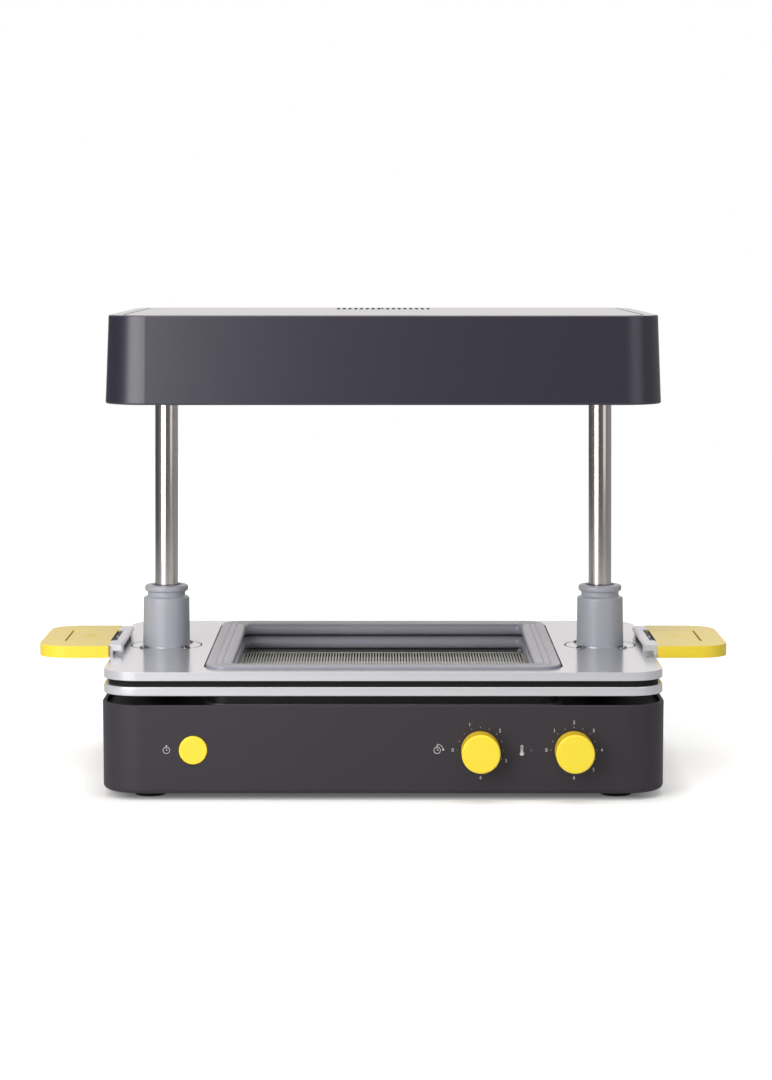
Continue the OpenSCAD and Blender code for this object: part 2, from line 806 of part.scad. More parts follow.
module heater_top_panel() {
    color([0.3, 0.29, 0.33]) at_posts() difference() {
        soft_slab(panel_w, panel_d, panel_r, head_top - panel_t, panel_t);
        for (i = [-(vent_n - 1) / 2:(vent_n - 1) / 2])
            translate([i * vent_pitch, vent_y, head_top - panel_t - 1]) linear_extrude(panel_t + 2)
                soft_rect(vent_w, vent_l, vent_w / 2 - 0.01);
    }
}

// Folded aluminium tray above the elements, with a rim on the grille's frame
module reflector() {
    color([0.8, 0.8, 0.8]) at_posts() difference() {
        union() {
            soft_slab(mouth_w + 2 * grille_rim, mouth_d + 2 * grille_rim, mouth_r + 4, rim_z, reflector_t);
            soft_slab(mouth_w + 2 * reflector_t, mouth_d + 2 * reflector_t, mouth_r + reflector_t,
                      rim_z, reflector_z - rim_z + reflector_t);
        }
        soft_slab(mouth_w, mouth_d, mouth_r, rim_z - 1, reflector_z - rim_z + 1);
        at_each(element_posts(), reflector_z - 1) cylinder(h = 3, r = hanger_r);
        at_each(grille_screw_at, rim_z - 1) cylinder(h = 3, r = screw_r);
    }
}

function element_posts() =
    [for (i = [0:element_n - 1]) [0, (i - (element_n - 1) / 2) * element_pitch]];

// Ceramic troughs, hollow to the trays, each with the collar that it hangs by
module heater_elements() {
    arc_r = 46;
    skin = 5;
    color([0.85, 0.83, 0.78]) at_posts() at_each(element_posts(), reflector_z - element_h) {
        rotate([90, 0, 90]) linear_extrude(element_l, center = true) intersection() {
            difference() {
                translate([0, skin + 1 - arc_r]) circle(arc_r);
                translate([0, 1 - arc_r]) circle(arc_r - 1);
            }
            translate([-element_w / 2, -element_h]) square([element_w, 2 * element_h]);
        }
        cylinder(h = element_h + reflector_t + 2, r = hanger_r);
        translate([0, 0, element_h + reflector_t]) cylinder(h = 3, r = 1.5 * hanger_r);
    }
}

module guard_grille() {
    nx = floor(mouth_w / 2 / rod_pitch_x);
    ny = floor(mouth_d / 2 / rod_pitch_y);
    color([0.7, 0.7, 0.7]) at_posts() {
        difference() {
            soft_ring(mouth_w + 2 * grille_rim, mouth_d + 2 * grille_rim, mouth_r + 4,
                      mouth_w - 3, mouth_d - 3, mouth_r - 1, grille_z, grille_t);
            at_each(grille_screw_at, grille_z - 1) cylinder(h = 3, r = screw_r);
        }
        for (i = [-ny:ny]) translate([0, i * rod_pitch_y, grille_z + rod_r]) rotate([0, 90, 0])
            cylinder(h = mouth_w - 1, r = rod_r, center = true);
        for (i = [-nx:nx]) translate([i * rod_pitch_x, 0, grille_z + 2.8 * rod_r]) rotate([90, 0, 0])
            cylinder(h = mouth_d - 10, r = rod_r, center = true);
    }
}

module grille_screws() {
    color([0.4, 0.4, 0.42]) at_posts() at_each(grille_screw_at, head_z) {
        translate([0, 0, 0.1]) cylinder(h = screw_head, r = screw_head_r);
        translate([0, 0, 1]) cylinder(h = head_flange + 2.5, r = screw_r);
    }
}

module terminal_block() {
    color([0.9, 0.88, 0.8]) at_posts() difference() {
        block = [16, 36, 12];
        side_x = terminal_in - mouth_w / 2;
        translate([side_x - block[0] / 2, -block[1] / 2, reflector_z + reflector_t]) cube(block);
        for (y = [-1, 0, 1]) translate([side_x, y * block[1] / 3, reflector_z + block[2] / 2])
            cylinder(h = block[2], r = block[0] / 6);
    }
}

module thermal_cutout() {
    color([0.75, 0.72, 0.6]) at_posts() translate([cutout_x, element_pitch / 2, reflector_z + reflector_t]) {
        cylinder(h = 5, r = 9);
        translate([0, 0, 4]) cylinder(h = 6, r = 7);
        for (x = [-1, 1]) translate([x * 4 - 0.4, -3, 9]) cube([0.8, 6, 7]);
    }
}

// Rings that the collars' lips pass through, which grip the neck when the trays are up
module detent_rings() {
    mid_z = lip_top + tray_travel - 7;
    color([0.15, 0.15, 0.16]) at_posts() both_sides() translate([post_x, 0, mid_z]) rotate_extrude()
        polygon([[well_r, -2.2], [well_r, 2.2], [lip_d / 2 + 1.2, 2.2], [lip_d / 2 + 0.2, 0.8],
                 [lip_d / 2 + 0.2, -0.8], [lip_d / 2 + 1.2, -2.2]]);
}

// Lower tray

module lower_tray_frame() {
    color([0.83, 0.83, 0.84]) at_posts() difference() {
        soft_ring(tray_w, tray_d, tray_r, 2 * window_x, 2 * window_y, window_r, low_z, low_t);
        both_sides() translate([post_x, 0, low_z - 1]) cylinder(h = low_t + 2, r = bush_out + low_bush);
    }
}

// Flanged bushes, which stand on the deck when the trays are down
module lower_tray_bushes() {
    color([0.2, 0.2, 0.21]) at_posts() both_sides() translate([post_x, 0, 0]) difference() {
        union() {
            translate([0, 0, deck_z]) cylinder(h = gasket_z - deck_z, r = bush_out + low_bush);
            translate([0, 0, low_z - 3]) cylinder(h = 3, r = bush_out + bush_flange);
        }
        translate([0, 0, deck_z - 1]) cylinder(h = gasket_z - deck_z + 2, r = bush_r);
    }
}

module tray_gasket() {
    color([0.08, 0.08, 0.08]) at_posts() difference() {
        soft_ring(tray_w - 2 * gasket_in, tray_d - 2 * gasket_in, tray_r - gasket_in,
                  2 * window_x, 2 * window_y, window_r, gasket_z, gasket_t);
        both_sides() translate([post_x, 0, gasket_z - 1])
            cylinder(h = gasket_t + 2, r = bush_out + 2 * low_bush);
    }
}

// Upper tray

module upper_tray_frame() {
    color([0.85, 0.85, 0.86]) at_posts() difference() {
        soft_ring(tray_w, tray_d, tray_r, 2 * window_x, 2 * window_y, window_r, up_z, up_t);
        both_sides() translate([post_x, 0, up_z - 1]) cylinder(h = up_t, r = bush_out);
        both_sides() translate([post_x, 0, up_top - flange_t])
            cylinder(h = flange_t + 1, r = flange_d / 2 + flange_gap);
        both_sides() at_each(collar_screw_at(), up_z - 1) cylinder(h = up_t + 1, r = screw_r);
        both_sides() at_each(bracket_screw_at(), up_z - 1) {
            cylinder(h = up_t + 2, r = lug_screw_r);
            cylinder(h = screw_head + 1, r = lug_head_r + 0.1);
        }
    }
}

function collar_screw_at() =
    [for (a = [45:90:315]) [post_x + collar_screw_ring * cos(a), collar_screw_ring * sin(a)]];

function bracket_screw_at() = [for (y = [-1, 1]) [lug_screw_x, y * lug_y]];

// Flanged collar with a shoulder, a neck and a rounded lip
module collar() {
    body_r = collar_d / 2;
    lip_r = lip_d / 2;
    lip_h = 4.7;
    round_r = min(1.8, (lip_d - neck_d) / 2 - 0.1);
    neck_z = lip_top - lip_h - 3.6;
    translate([post_x, 0, 0]) difference() {
        rotate_extrude() polygon(concat(
            [[bush_out, up_top - flange_t], [flange_d / 2, up_top - flange_t], [flange_d / 2, up_top],
             [body_r, up_top], [body_r - 0.35, neck_z - 1.6]],
            arc(body_r - 1.6, neck_z - 1.2, 1.2, 0, 90, 4),
            [[neck_d / 2 + 0.5, neck_z + 0.2], [neck_d / 2, neck_z + 0.8]],
            [[neck_d / 2, lip_top - lip_h]],
            arc(lip_r - round_r, lip_top - lip_h + round_r, round_r, -90, 0, 4),
            arc(lip_r - round_r, lip_top - round_r, round_r, 0, 90, 4),
            [[bush_out + 0.8, lip_top], [bush_out, lip_top - 0.8]]
        ));
        translate([-post_x, 0, 0]) at_each(collar_screw_at(), up_top - flange_t - 1) {
            cylinder(h = 6, r = screw_r);
            translate([0, 0, 2.6]) cylinder(h = 4, r = screw_head_r + 0.1);
        }
    }
}

module collar_right() {
    color([0.65, 0.67, 0.7]) at_posts() collar();
}

module collar_left() {
    color([0.65, 0.67, 0.7]) at_posts() mirror([1, 0, 0]) collar();
}

module collar_bushes() {
    color([0.15, 0.15, 0.15]) at_posts() both_sides() translate([post_x, 0, 0])
        tube(bush_out, bush_r, up_z, lip_top - 4.5 - up_z);
}

module collar_screws() {
    color([0.35, 0.33, 0.33]) at_posts() both_sides() at_each(collar_screw_at(), 0) {
        translate([0, 0, up_top - flange_t + 1.6]) difference() {
            cylinder(h = screw_head, r = screw_head_r);
            translate([0, 0, screw_head / 2]) cylinder(h = 2, r = hex_r, $fn = 6);
        }
        translate([0, 0, up_z]) cylinder(h = up_t - flange_t + 1.6, r = screw_r);
    }
}

// Latch side, drawn for the right and mirrored for the left

// Tongues of the bracket that the handle is pushed onto
module tongues() {
    for (y = [-1, 1]) translate([root_x - 1, y * tongue_y - tongue_w / 2, tongue_z])
        cube([tongue_l + 1, tongue_w, tongue_t]);
}

// Bracket with a leg outside the tray's edge, a lip with a rounded nose, and lugs that the lip
// stands on, which are screwed on from under the tray
module bracket() {
    nose_r = shelf_t / 2;
    leg_z = handle_z - 0.6;
    difference() {
        union() {
            rotate([90, 0, 0]) linear_extrude(bracket_l, center = true) {
                translate([tray_x, leg_z]) square([leg_t, bracket_top - leg_z]);
                translate([lip_x0 + nose_r, shelf_z]) square([bracket_lip - nose_r, shelf_t]);
                translate([lip_x0 + nose_r, bracket_top - nose_r]) circle(nose_r);
            }
            for (y = [-1, 1]) translate([lug_x0, y * lug_y - lug_l / 2, up_top])
                cube([tray_x + leg_t / 2 - lug_x0, lug_l, lug_thread]);
            tongues();
        }
        translate([pivot_x - 1.8, -lever_w / 2 - 0.3, up_top + 0.6])
            cube([20, lever_w + 0.6, 20]);
        translate([pivot_x, 0, pivot_z]) rotate([90, 0, 0])
            cylinder(h = lever_w + 12, r = pin_r, center = true);
        at_each(bracket_screw_at(), up_top - 1) cylinder(h = lug_thread + 1, r = lug_screw_r);
        for (y = [-1, 1]) translate([handle_screw_x, y * tongue_y, tongue_z - 1])
            cylinder(h = 6, r = screw_r);
    }
}

module bracket_right() {
    color([0.8, 0.8, 0.82]) at_posts() bracket();
}

module bracket_left() {
    color([0.8, 0.8, 0.82]) at_posts() mirror([1, 0, 0]) bracket();
}

module bracket_screws() {
    color([0.5, 0.5, 0.5]) at_posts() both_sides() at_each(bracket_screw_at(), up_z) {
        cylinder(h = screw_head, r = lug_head_r);
        cylinder(h = up_t + lug_thread, r = lug_screw_r);
    }
}

// Outline of the handle in plan, square at its root and round at its tip
module handle_plan() {
    translate([root_x, -handle_w / 2]) square([handle_l - handle_r, handle_w]);
    translate([root_x, handle_r - handle_w / 2]) square([handle_l, handle_w - 2 * handle_r]);
    for (y = [-1, 1]) translate([root_x + handle_l - handle_r, y * (handle_w / 2 - handle_r)])
        circle(handle_r);
}

module handle() {
    difference() {
        translate([0, 0, handle_z]) linear_extrude(handle_t) handle_plan();
        translate([root_x - 1, -lever_w / 2 - 0.3, handle_top - lever_t - 0.2])
            cube([pocket_l + 1, lever_w + 0.6, lever_t + 2]);
        translate([root_x - 1, -claw_w / 2 - 0.5, handle_z - 1]) cube([11, claw_w + 1, 12]);
        tongues();
        for (y = [-1, 1]) translate([handle_screw_x, y * tongue_y, handle_z - 1]) {
            cylinder(h = 6, r = screw_r);
            cylinder(h = 2.6, r = screw_head_r + 0.1);
        }
    }
}

module handle_right() {
    color([0.98, 0.86, 0.15]) at_posts() handle();
}

module handle_left() {
    color([0.98, 0.86, 0.15]) at_posts() mirror([1, 0, 0]) handle();
}

module handle_screws() {
    color([0.5, 0.5, 0.5]) at_posts() both_sides() for (y = [-1, 1])
        translate([handle_screw_x, y * tongue_y, handle_z]) {
            translate([0, 0, 0.2]) cylinder(h = 1.4, r = screw_head_r);
            translate([0, 0, 1]) cylinder(h = 4, r = screw_r);
        }
}

// Lever with a barrel on the pin, a thumb dimple and the place where the claw is fixed
module lever() {
    top = handle_top - 0.1;
    spring_gap = 4.4;
    dimple_deep = 0.9;
    dimple_r = dimple_d * dimple_d / 8 / dimple_deep + dimple_deep / 2;
    difference() {
        union() {
            translate([pivot_x + 2.4, -lever_w / 2, top - lever_t + 0.1])
                cube([lever_l - 2.4 + root_x - pivot_x, lever_w, lever_t - 0.1]);
            translate([pivot_x, 0, pivot_z]) rotate([90, 0, 0])
                cylinder(h = lever_w, r = barrel_r, center = true);
            translate([pivot_x, -lever_w / 2, pivot_z - 0.9]) cube([3, lever_w, 1.8]);
        }
        translate([pivot_x - 4, -spring_gap, pivot_z - 3]) cube([6, 2 * spring_gap, 6]);
        translate([pivot_x, 0, pivot_z]) rotate([90, 0, 0])
            cylinder(h = lever_w + 2, r = pin_r + run, center = true);
        translate([root_x + 0.54 * lever_l, 0, top + dimple_r - dimple_deep]) sphere(dimple_r);
    }
}

module latch_lever_right() {
    color([0.98, 0.86, 0.15]) at_posts() lever();
}

module latch_lever_left() {
    color([0.98, 0.86, 0.15]) at_posts() mirror([1, 0, 0]) lever();
}

// Spring-steel claw that hangs from the lever and hooks under the lower tray
module claw() {
    top = handle_top - lever_t;
    back = root_x + 1.4;
    bite = 1.9;
    translate([0, claw_w / 2, 0]) rotate([90, 0, 0]) linear_extrude(claw_w) polygon([
        [back, top], [back + 6, top], [back + 6, top - claw_t], [back + claw_t, top - claw_t],
        [back + claw_t, low_z - 0.2 - claw_t], [tray_x - bite, low_z - 0.2 - claw_t],
        [tray_x - bite, low_z - 0.2], [back, low_z - 0.2]
    ]);
}

module latch_claw_right() {
    color([0.6, 0.6, 0.62]) at_posts() claw();
}

module latch_claw_left() {
    color([0.6, 0.6, 0.62]) at_posts() mirror([1, 0, 0]) claw();
}

module latch_pins() {
    color([0.7, 0.7, 0.7]) at_posts() both_sides() translate([pivot_x, 0, pivot_z]) rotate([90, 0, 0])
        cylinder(h = lever_w + 8, r = pin_r, center = true);
}

module latch_springs() {
    wire_r = 0.35;
    color([0.6, 0.6, 0.6]) at_posts() both_sides() translate([pivot_x, 0, pivot_z]) rotate([90, 0, 0])
        for (i = [-2:2]) translate([0, 0, i * 1.5]) rotate_extrude()
            translate([pin_r + wire_r + 0.1, 0]) circle(wire_r);
}

// Knobs, buttons and shafts

// Knob of revolution with a hollow back and a boss for the shaft
module knob(x) {
    r = knob_d / 2;
    edge = 1.2;
    from_front(x, front_y) difference() {
        rotate_extrude() polygon(concat(
            [[0, -0.5], [r, -0.5]],
            arc(r - edge, edge - knob_h, edge, 0, -90, 5),
            [[0, -knob_h]]
        ));
        difference() {
            translate([0, 0, -knob_h + 3]) cylinder(h = knob_h, r = r - 2);
            translate([0, 0, -knob_h]) cylinder(h = knob_h - 0.5, r = shaft_d / 2 + 2.5);
        }
        translate([0, 0, -knob_h + 4]) cylinder(h = knob_h, r = shaft_d / 2);
    }
}

module shaft(x) {
    from_front(x, front_y) translate([0, 0, 4 - knob_h])
        cylinder(h = knob_h - 4 + shaft_deep, r = shaft_d / 2);
}

module timer_knob() {
    color([1, 0.88, 0.22]) at_posts() knob(timer_x);
}

module timer_shaft() {
    color([0.7, 0.7, 0.7]) at_posts() shaft(timer_x);
}

module heater_knob() {
    color([1, 0.88, 0.22]) at_posts() knob(heater_x);
}

module heater_shaft() {
    color([0.7, 0.7, 0.7]) at_posts() shaft(heater_x);
}

// Push button with a flange behind the wall that keeps it in
module start_button() {
    edge = 0.8;
    stand = 0.6;
    flange = base_wall + base_draft + 0.3;
    rod_end = board_y - front_y - contact_t - 2 - button_travel;
    color([1, 0.88, 0.22]) at_posts() from_front(-start_x, front_y) {
        rotate_extrude() polygon(concat(
            [[0, flange + 1]],
            [[button_d / 2, flange + 1]],
            arc(button_d / 2 - edge, edge - stand, edge, 0, -90, 4),
            [[0, -stand]]
        ));
        translate([0, 0, flange]) cylinder(h = 1.4, r = button_d / 2 + 1.6);
        translate([0, 0, flange]) cylinder(h = rod_end - flange, r = plunger_r);
    }
}

module start_spring() {
    from = base_wall + base_draft + 1.7;
    to = board_y - contact_t - front_y;
    coils = 5;
    wire_r = 0.4;
    step = (to - from - 2 * wire_r) / (coils - 1);
    color([0.7, 0.7, 0.7]) at_posts() from_front(-start_x, front_y)
        for (i = [0:coils - 1]) translate([0, 0, from + wire_r + i * step]) rotate_extrude()
            translate([2 * plunger_r, 0]) circle(wire_r);
}

base_housing();
bottom_cover();
rubber_feet();
cover_screws();
vacuum_chamber();
vacuum_bed();
bellows_seal();
seal_frame();
seal_frame_screws();
hose_port();
post_left();
post_right();
post_sockets();
control_board();
timer_switch();
heater_switch();
start_switch();
light_pipes();
power_inlet();
heater_leads();
heater_housing();
heater_top_panel();
reflector();
heater_elements();
guard_grille();
grille_screws();
terminal_block();
thermal_cutout();
post_clamps();
detent_rings();
lower_tray_frame();
lower_tray_bushes();
tray_gasket();
upper_tray_frame();
collar_left();
collar_right();
collar_bushes();
collar_screws();
handle_left();
handle_right();
bracket_left();
bracket_right();
bracket_screws();
handle_screws();
latch_pins();
latch_springs();
latch_lever_left();
latch_claw_left();
latch_lever_right();
latch_claw_right();
timer_knob();
timer_shaft();
heater_knob();
heater_shaft();
start_button();
start_spring();
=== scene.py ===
import json
import math

import bmesh
import bpy
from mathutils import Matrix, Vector
from mathutils.bvhtree import BVHTree

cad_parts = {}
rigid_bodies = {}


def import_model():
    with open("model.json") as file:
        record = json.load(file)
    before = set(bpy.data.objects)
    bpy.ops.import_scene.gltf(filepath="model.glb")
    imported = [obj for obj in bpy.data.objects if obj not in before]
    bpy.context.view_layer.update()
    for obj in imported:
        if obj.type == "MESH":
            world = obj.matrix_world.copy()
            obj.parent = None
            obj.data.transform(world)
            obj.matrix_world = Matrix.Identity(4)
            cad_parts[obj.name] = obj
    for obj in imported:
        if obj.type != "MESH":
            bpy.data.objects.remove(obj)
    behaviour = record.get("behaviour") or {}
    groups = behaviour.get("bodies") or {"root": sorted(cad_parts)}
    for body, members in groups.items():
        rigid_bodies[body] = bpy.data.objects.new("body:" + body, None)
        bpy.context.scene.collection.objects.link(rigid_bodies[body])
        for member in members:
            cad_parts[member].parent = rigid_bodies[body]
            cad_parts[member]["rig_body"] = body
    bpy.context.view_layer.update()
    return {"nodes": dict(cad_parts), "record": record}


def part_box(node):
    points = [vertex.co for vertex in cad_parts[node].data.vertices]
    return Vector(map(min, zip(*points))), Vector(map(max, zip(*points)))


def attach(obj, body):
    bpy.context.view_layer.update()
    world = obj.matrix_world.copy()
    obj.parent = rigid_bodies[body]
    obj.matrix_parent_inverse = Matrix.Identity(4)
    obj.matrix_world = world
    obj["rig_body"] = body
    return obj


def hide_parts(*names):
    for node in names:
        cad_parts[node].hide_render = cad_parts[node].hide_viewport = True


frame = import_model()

scene = bpy.context.scene
mm = 0.001


def tone(*screen):  # a screen colour, 0 to 255, as the linear colour that a shader takes
    return tuple(((part / 255 + 0.055) / 1.055) ** 2.4 for part in screen) + (1.0,)


# Shader maths

class Signal:  # a socket that can stand in a sum
    def __init__(self, look, socket):
        self.look = look
        self.socket = socket

    def maths(self, operation, *terms):
        return self.look.node("ShaderNodeMath", {"operation": operation}, dict(enumerate(terms)))[0]

    def __add__(self, other):
        return self.maths("ADD", self, other)

    def __radd__(self, other):
        return self.maths("ADD", other, self)

    def __sub__(self, other):
        return self.maths("SUBTRACT", self, other)

    def __rsub__(self, other):
        return self.maths("SUBTRACT", other, self)

    def __mul__(self, other):
        return self.maths("MULTIPLY", self, other)

    def __rmul__(self, other):
        return self.maths("MULTIPLY", other, self)

    def __truediv__(self, other):
        return self.maths("DIVIDE", self, other)

    def __rtruediv__(self, other):
        return self.maths("DIVIDE", other, self)

    def clip(self):
        return self.maths("MINIMUM", self.maths("MAXIMUM", self, 0.0), 1.0)

    def between(self, low, high):  # 0 at low, 1 at high
        return ((self - low) / (high - low)).clip()

    def unsigned(self):
        return self.maths("ABSOLUTE", self)

    def root(self):
        return self.maths("SQRT", self)


class Weave:  # a shader tree and what its nodes are made with
    def __init__(self, tree, coordinates):
        self.tree = tree
        spots = tree.nodes.new("ShaderNodeTexCoord")
        self.place = Signal(self, spots.outputs[coordinates])

    def feed(self, socket, value):
        if isinstance(value, Signal):
            self.tree.links.new(value.socket, socket)
        else:
            socket.default_value = value

    def node(self, kind, settings=None, values=None):
        made = self.tree.nodes.new(kind)
        for key, value in (settings or {}).items():
            if key == "stops":
                ramp = made.color_ramp.elements
                for index, (spot, colour) in enumerate(value):
                    stop = ramp[index] if index < 2 else ramp.new(spot)
                    stop.position = spot
                    stop.color = colour
            else:
                setattr(made, key, value)
        for key, value in (values or {}).items():
            self.feed(made.inputs[key], value)
        return [Signal(self, socket) for socket in made.outputs]

    def blend(self, share, first, second):
        return self.node("ShaderNodeMix", {"data_type": "RGBA"}, {0: share, 6: first, 7: second})[2]

    def noise(self, scale, detail=2.0, stretch=(1, 1, 1)):
        spot = self.node("ShaderNodeMapping", {}, {"Vector": self.place, "Scale": stretch})[0]
        values = {"Vector": spot, "Scale": scale, "Detail": detail}
        return self.node("ShaderNodeTexNoise", {"noise_dimensions": "3D"}, values)[0]

    def bump(self, height, strength, depth):
        values = {"Strength": strength, "Distance": depth, "Height": height}
        return self.node("ShaderNodeBump", {}, values)[0]

    def axis(self, letter):
        parts = self.node("ShaderNodeSeparateXYZ", {}, {"Vector": self.place})
        return parts["xyz".index(letter)]

    def ray(self, kind):  # 1 for rays of this kind
        made = self.tree.nodes.new("ShaderNodeLightPath")
        return Signal(self, made.outputs[kind])


class Look(Weave):  # a material
    def __init__(self, name, fixed):
        self.material = bpy.data.materials.new(name)
        self.material.use_nodes = True
        super().__init__(self.material.node_tree, "Object")
        self.shader = self.tree.nodes["Principled BSDF"]
        for socket, value in fixed.items():
            self.feed(self.shader.inputs[socket], value)

    def paint(self, **signals):
        sockets = {"colour": "Base Color", "rough": "Roughness", "metal": "Metallic", "normal": "Normal",
                   "coat": "Coat Weight", "glow": "Emission Color", "alpha": "Alpha"}
        for key, value in signals.items():
            self.feed(self.shader.inputs[sockets[key]], value)
        return self.material


def shade(colour, factor):
    return tuple(part * factor for part in colour[:3]) + (1.0,)


def mouldedLook(name, colour, rough=0.45, grain=2400, depth=0.03, mottle=0.05, fixed=None):
    look = Look(name, {"IOR": 1.5, **(fixed or {})})
    fine = look.noise(grain, 3)
    broad = look.noise(14, 2)
    tint = look.blend(broad, shade(colour, 1 - mottle), shade(colour, 1 + mottle))
    speck = look.blend(fine, shade(colour, 1 - mottle / 2), tint)
    return look.paint(colour=look.blend(0.6, tint, speck), rough=(fine - 0.5) * 0.12 + rough,
                      normal=look.bump(fine, 0.5, depth * mm))


def metalLook(name, colour, rough=0.3, stretch=(1, 1, 1), scale=900, depth=0.004, metal=1.0, spread=0.12):
    look = Look(name, {"Metallic": metal})
    lines = look.noise(scale, 4, stretch)
    broad = look.noise(22, 2)
    tint = look.blend(lines, shade(colour, 0.92), shade(colour, 1.05))
    return look.paint(colour=tint, rough=(lines - 0.5) * spread + (broad - 0.5) * 0.05 + rough,
                      normal=look.bump(lines, 0.4, depth * mm))


def paintedLook(name, colour, metal, rough):
    look = Look(name, {"Metallic": metal, "IOR": 1.5})
    flake = look.noise(3800, 2)
    broad = look.noise(9, 2)
    tint = look.blend(flake, shade(colour, 0.95), shade(colour, 1.04))
    return look.paint(colour=tint, rough=(broad - 0.5) * 0.04 + rough,
                      normal=look.bump(flake, 0.25, 0.006 * mm))


finishes = {  # screen colours of the record's slots
    "housing_dark": (50, 47, 54), "head_dark": (37, 35, 51), "black_plastic": (30, 29, 32),
    "rubber": (24, 23, 25), "silicone": (154, 154, 166), "collar_grey": (170, 173, 182), "handle_yellow": (252, 222, 58),
    "switch_grey": (78, 80, 86), "board_green": (26, 88, 52), "lead_red": (150, 40, 30),
    "ceramic": (225, 219, 204), "clear_pipe": (60, 58, 62),
}
details = {  # screen colours of marks and the knob faces, and of painted shade in joints, in the lever's slot and on the knob rims
    "print": (206, 204, 208), "jointShade": (16, 16, 18), "leverRootShade": (34, 32, 35), "knobRimShade": (255, 210, 34),
    "knobFace": (250, 223, 56), "knobFaceLight": (254, 229, 60),
}
metals = {  # share of light that each metal returns
    "tray": (0.64, 0.65, 0.68), "post": (0.60, 0.565, 0.54), "bed": (0.88, 0.86, 0.80),
    "cast": (0.32, 0.32, 0.33), "bracket": (0.70, 0.70, 0.73), "screw": (0.24, 0.22, 0.22), "spring": (0.46, 0.46, 0.47),
    "reflector": (0.72, 0.72, 0.73), "wire": (0.5, 0.5, 0.51),
}


def metal(name):
    return metals[name] + (1.0,)


looks = {
    "housing_dark": mouldedLook("baseHousingPlastic", tone(*finishes["housing_dark"]), 0.5, 2400, 0.03, 0.04,
                                {"Specular IOR Level": 0.32}),
    "black_plastic": mouldedLook("blackPlastic", tone(*finishes["black_plastic"]), 0.5),
    "rubber": mouldedLook("gasketRubber", tone(*finishes["rubber"]), 0.7, 1500, 0.04,
                          fixed={"Specular IOR Level": 0.2}),
    "bed_steel": metalLook("bedSteel", metal("bed"), 0.48, (1, 8, 1), 700, metal=0.15),
    "post_steel": metalLook("postSteel", metal("post"), 0.15, (14, 14, 0.25), 260, 0.002),
    "cast_metal": metalLook("castAlloy", metal("cast"), 0.5, (1, 1, 1), 600, 0.02),
    "tray_silver": paintedLook("traySilver", metal("tray"), 0.55, 0.17),
    "handle_yellow": mouldedLook("handleYellow", tone(*finishes["handle_yellow"]), 0.3, 2600, 0.012, 0.02),
    "bracket_metal": metalLook("bracketAlloy", metal("bracket"), 0.32, (1, 1, 1), 500, 0.002,
                               metal=0.4, spread=0.06),
    "screw_dark": metalLook("screwChrome", metal("screw"), 0.2, (1, 1, 1), 1200, 0.003),
    "spring_steel": metalLook("springSteel", metal("spring"), 0.25, (1, 1, 6), 500, 0.003),
    "board_green": mouldedLook("boardGreen", tone(*finishes["board_green"]), 0.35, 900, 0.01),
    "switch_grey": mouldedLook("switchGrey", tone(*finishes["switch_grey"]), 0.45),
    "clear_pipe": mouldedLook("lampLens", tone(*finishes["clear_pipe"]), 0.12, 900, 0.002, 0.02,
                              {"Coat Weight": 0.5}),
    "lead_red": mouldedLook("leadSleeve", tone(*finishes["lead_red"]), 0.5),
    "reflector_alu": metalLook("reflectorAlloy", metal("reflector"), 0.22, (6, 1, 1), 260, 0.004),
    "ceramic": mouldedLook("elementCeramic", tone(*finishes["ceramic"]), 0.55, 700, 0.05, 0.06),
    "grille_wire": metalLook("grilleWire", metal("wire"), 0.3, (1, 1, 1), 900, 0.003),
}
printLook = mouldedLook("printedMarks", tone(*details["print"]), 0.6, 900, 0.002, 0.03)
print("materials ready")


# Which slot each solid has, and its box

slotOf = {part["node"]: part["material_slot"] for part in frame["record"]["subparts"]}


def low(node):
    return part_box(node)[0]


def high(node):
    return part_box(node)[1]


def middle(node):
    return (low(node) + high(node)) / 2


# Finishes that change over a piece, some with painted shade

maskSizes = {  # millimetres; most place the painted shade in the lever's slot, the seal's recess and crease, the knob rims and the flange joints
    "slotInside": 187.3, "knobFace": 0.7, "knobRimShade": 1.2, "recessShadeLow": 66.3, "recessShadeHigh": 67.0, "crease": 75.9,
    "flangeJoint": 27.0, "fade": 0.2,
}
trayGloss = {"metal": 0.55, "rough": 0.17}


def headLook():  # the top is smoother than the sides
    look = Look("headHousingPlastic", {"IOR": 1.5, "Specular IOR Level": 0.75})
    colour = tone(*finishes["head_dark"])
    top = high("heater_housing").z
    side = 1 - look.axis("z").between(top - 0.3 * mm, top - 0.1 * mm)
    fine = look.noise(2600, 3)
    broad = look.noise(14, 2)
    tint = look.blend(broad, shade(colour, 0.94), shade(colour, 1.06))
    return look.paint(colour=tint, rough=(fine - 0.5) * side * 0.1 + side * 0.19 + 0.13,
                      normal=look.bump(fine * side, 0.5, 0.02 * mm))


def collarLook():  # grey above, silver on the flange, with painted shade on the flange's side below the tray's top
    look = Look("collarGrey", {"IOR": 1.5})
    top = high("upper_tray_frame").z
    body = look.axis("z").between(top + 0.1 * mm, top + 0.25 * mm)
    # painted shade: below the tray's top the flange's side is dark
    jointShade = look.axis("z").between(top - 0.3 * mm, top - 0.2 * mm)
    fine = look.noise(2000, 3)
    grey = tone(*finishes["collar_grey"])
    flange = look.blend(jointShade, tone(*details["jointShade"]), metal("tray"))
    tint = look.blend(body, flange, look.blend(fine, shade(grey, 0.97), shade(grey, 1.03)))
    return look.paint(colour=tint, metal=(1 - body) * jointShade * trayGloss["metal"],
                      rough=body * 0.13 + (fine - 0.5) * 0.05 + trayGloss["rough"],
                      normal=look.bump(fine, 0.4, 0.008 * mm))


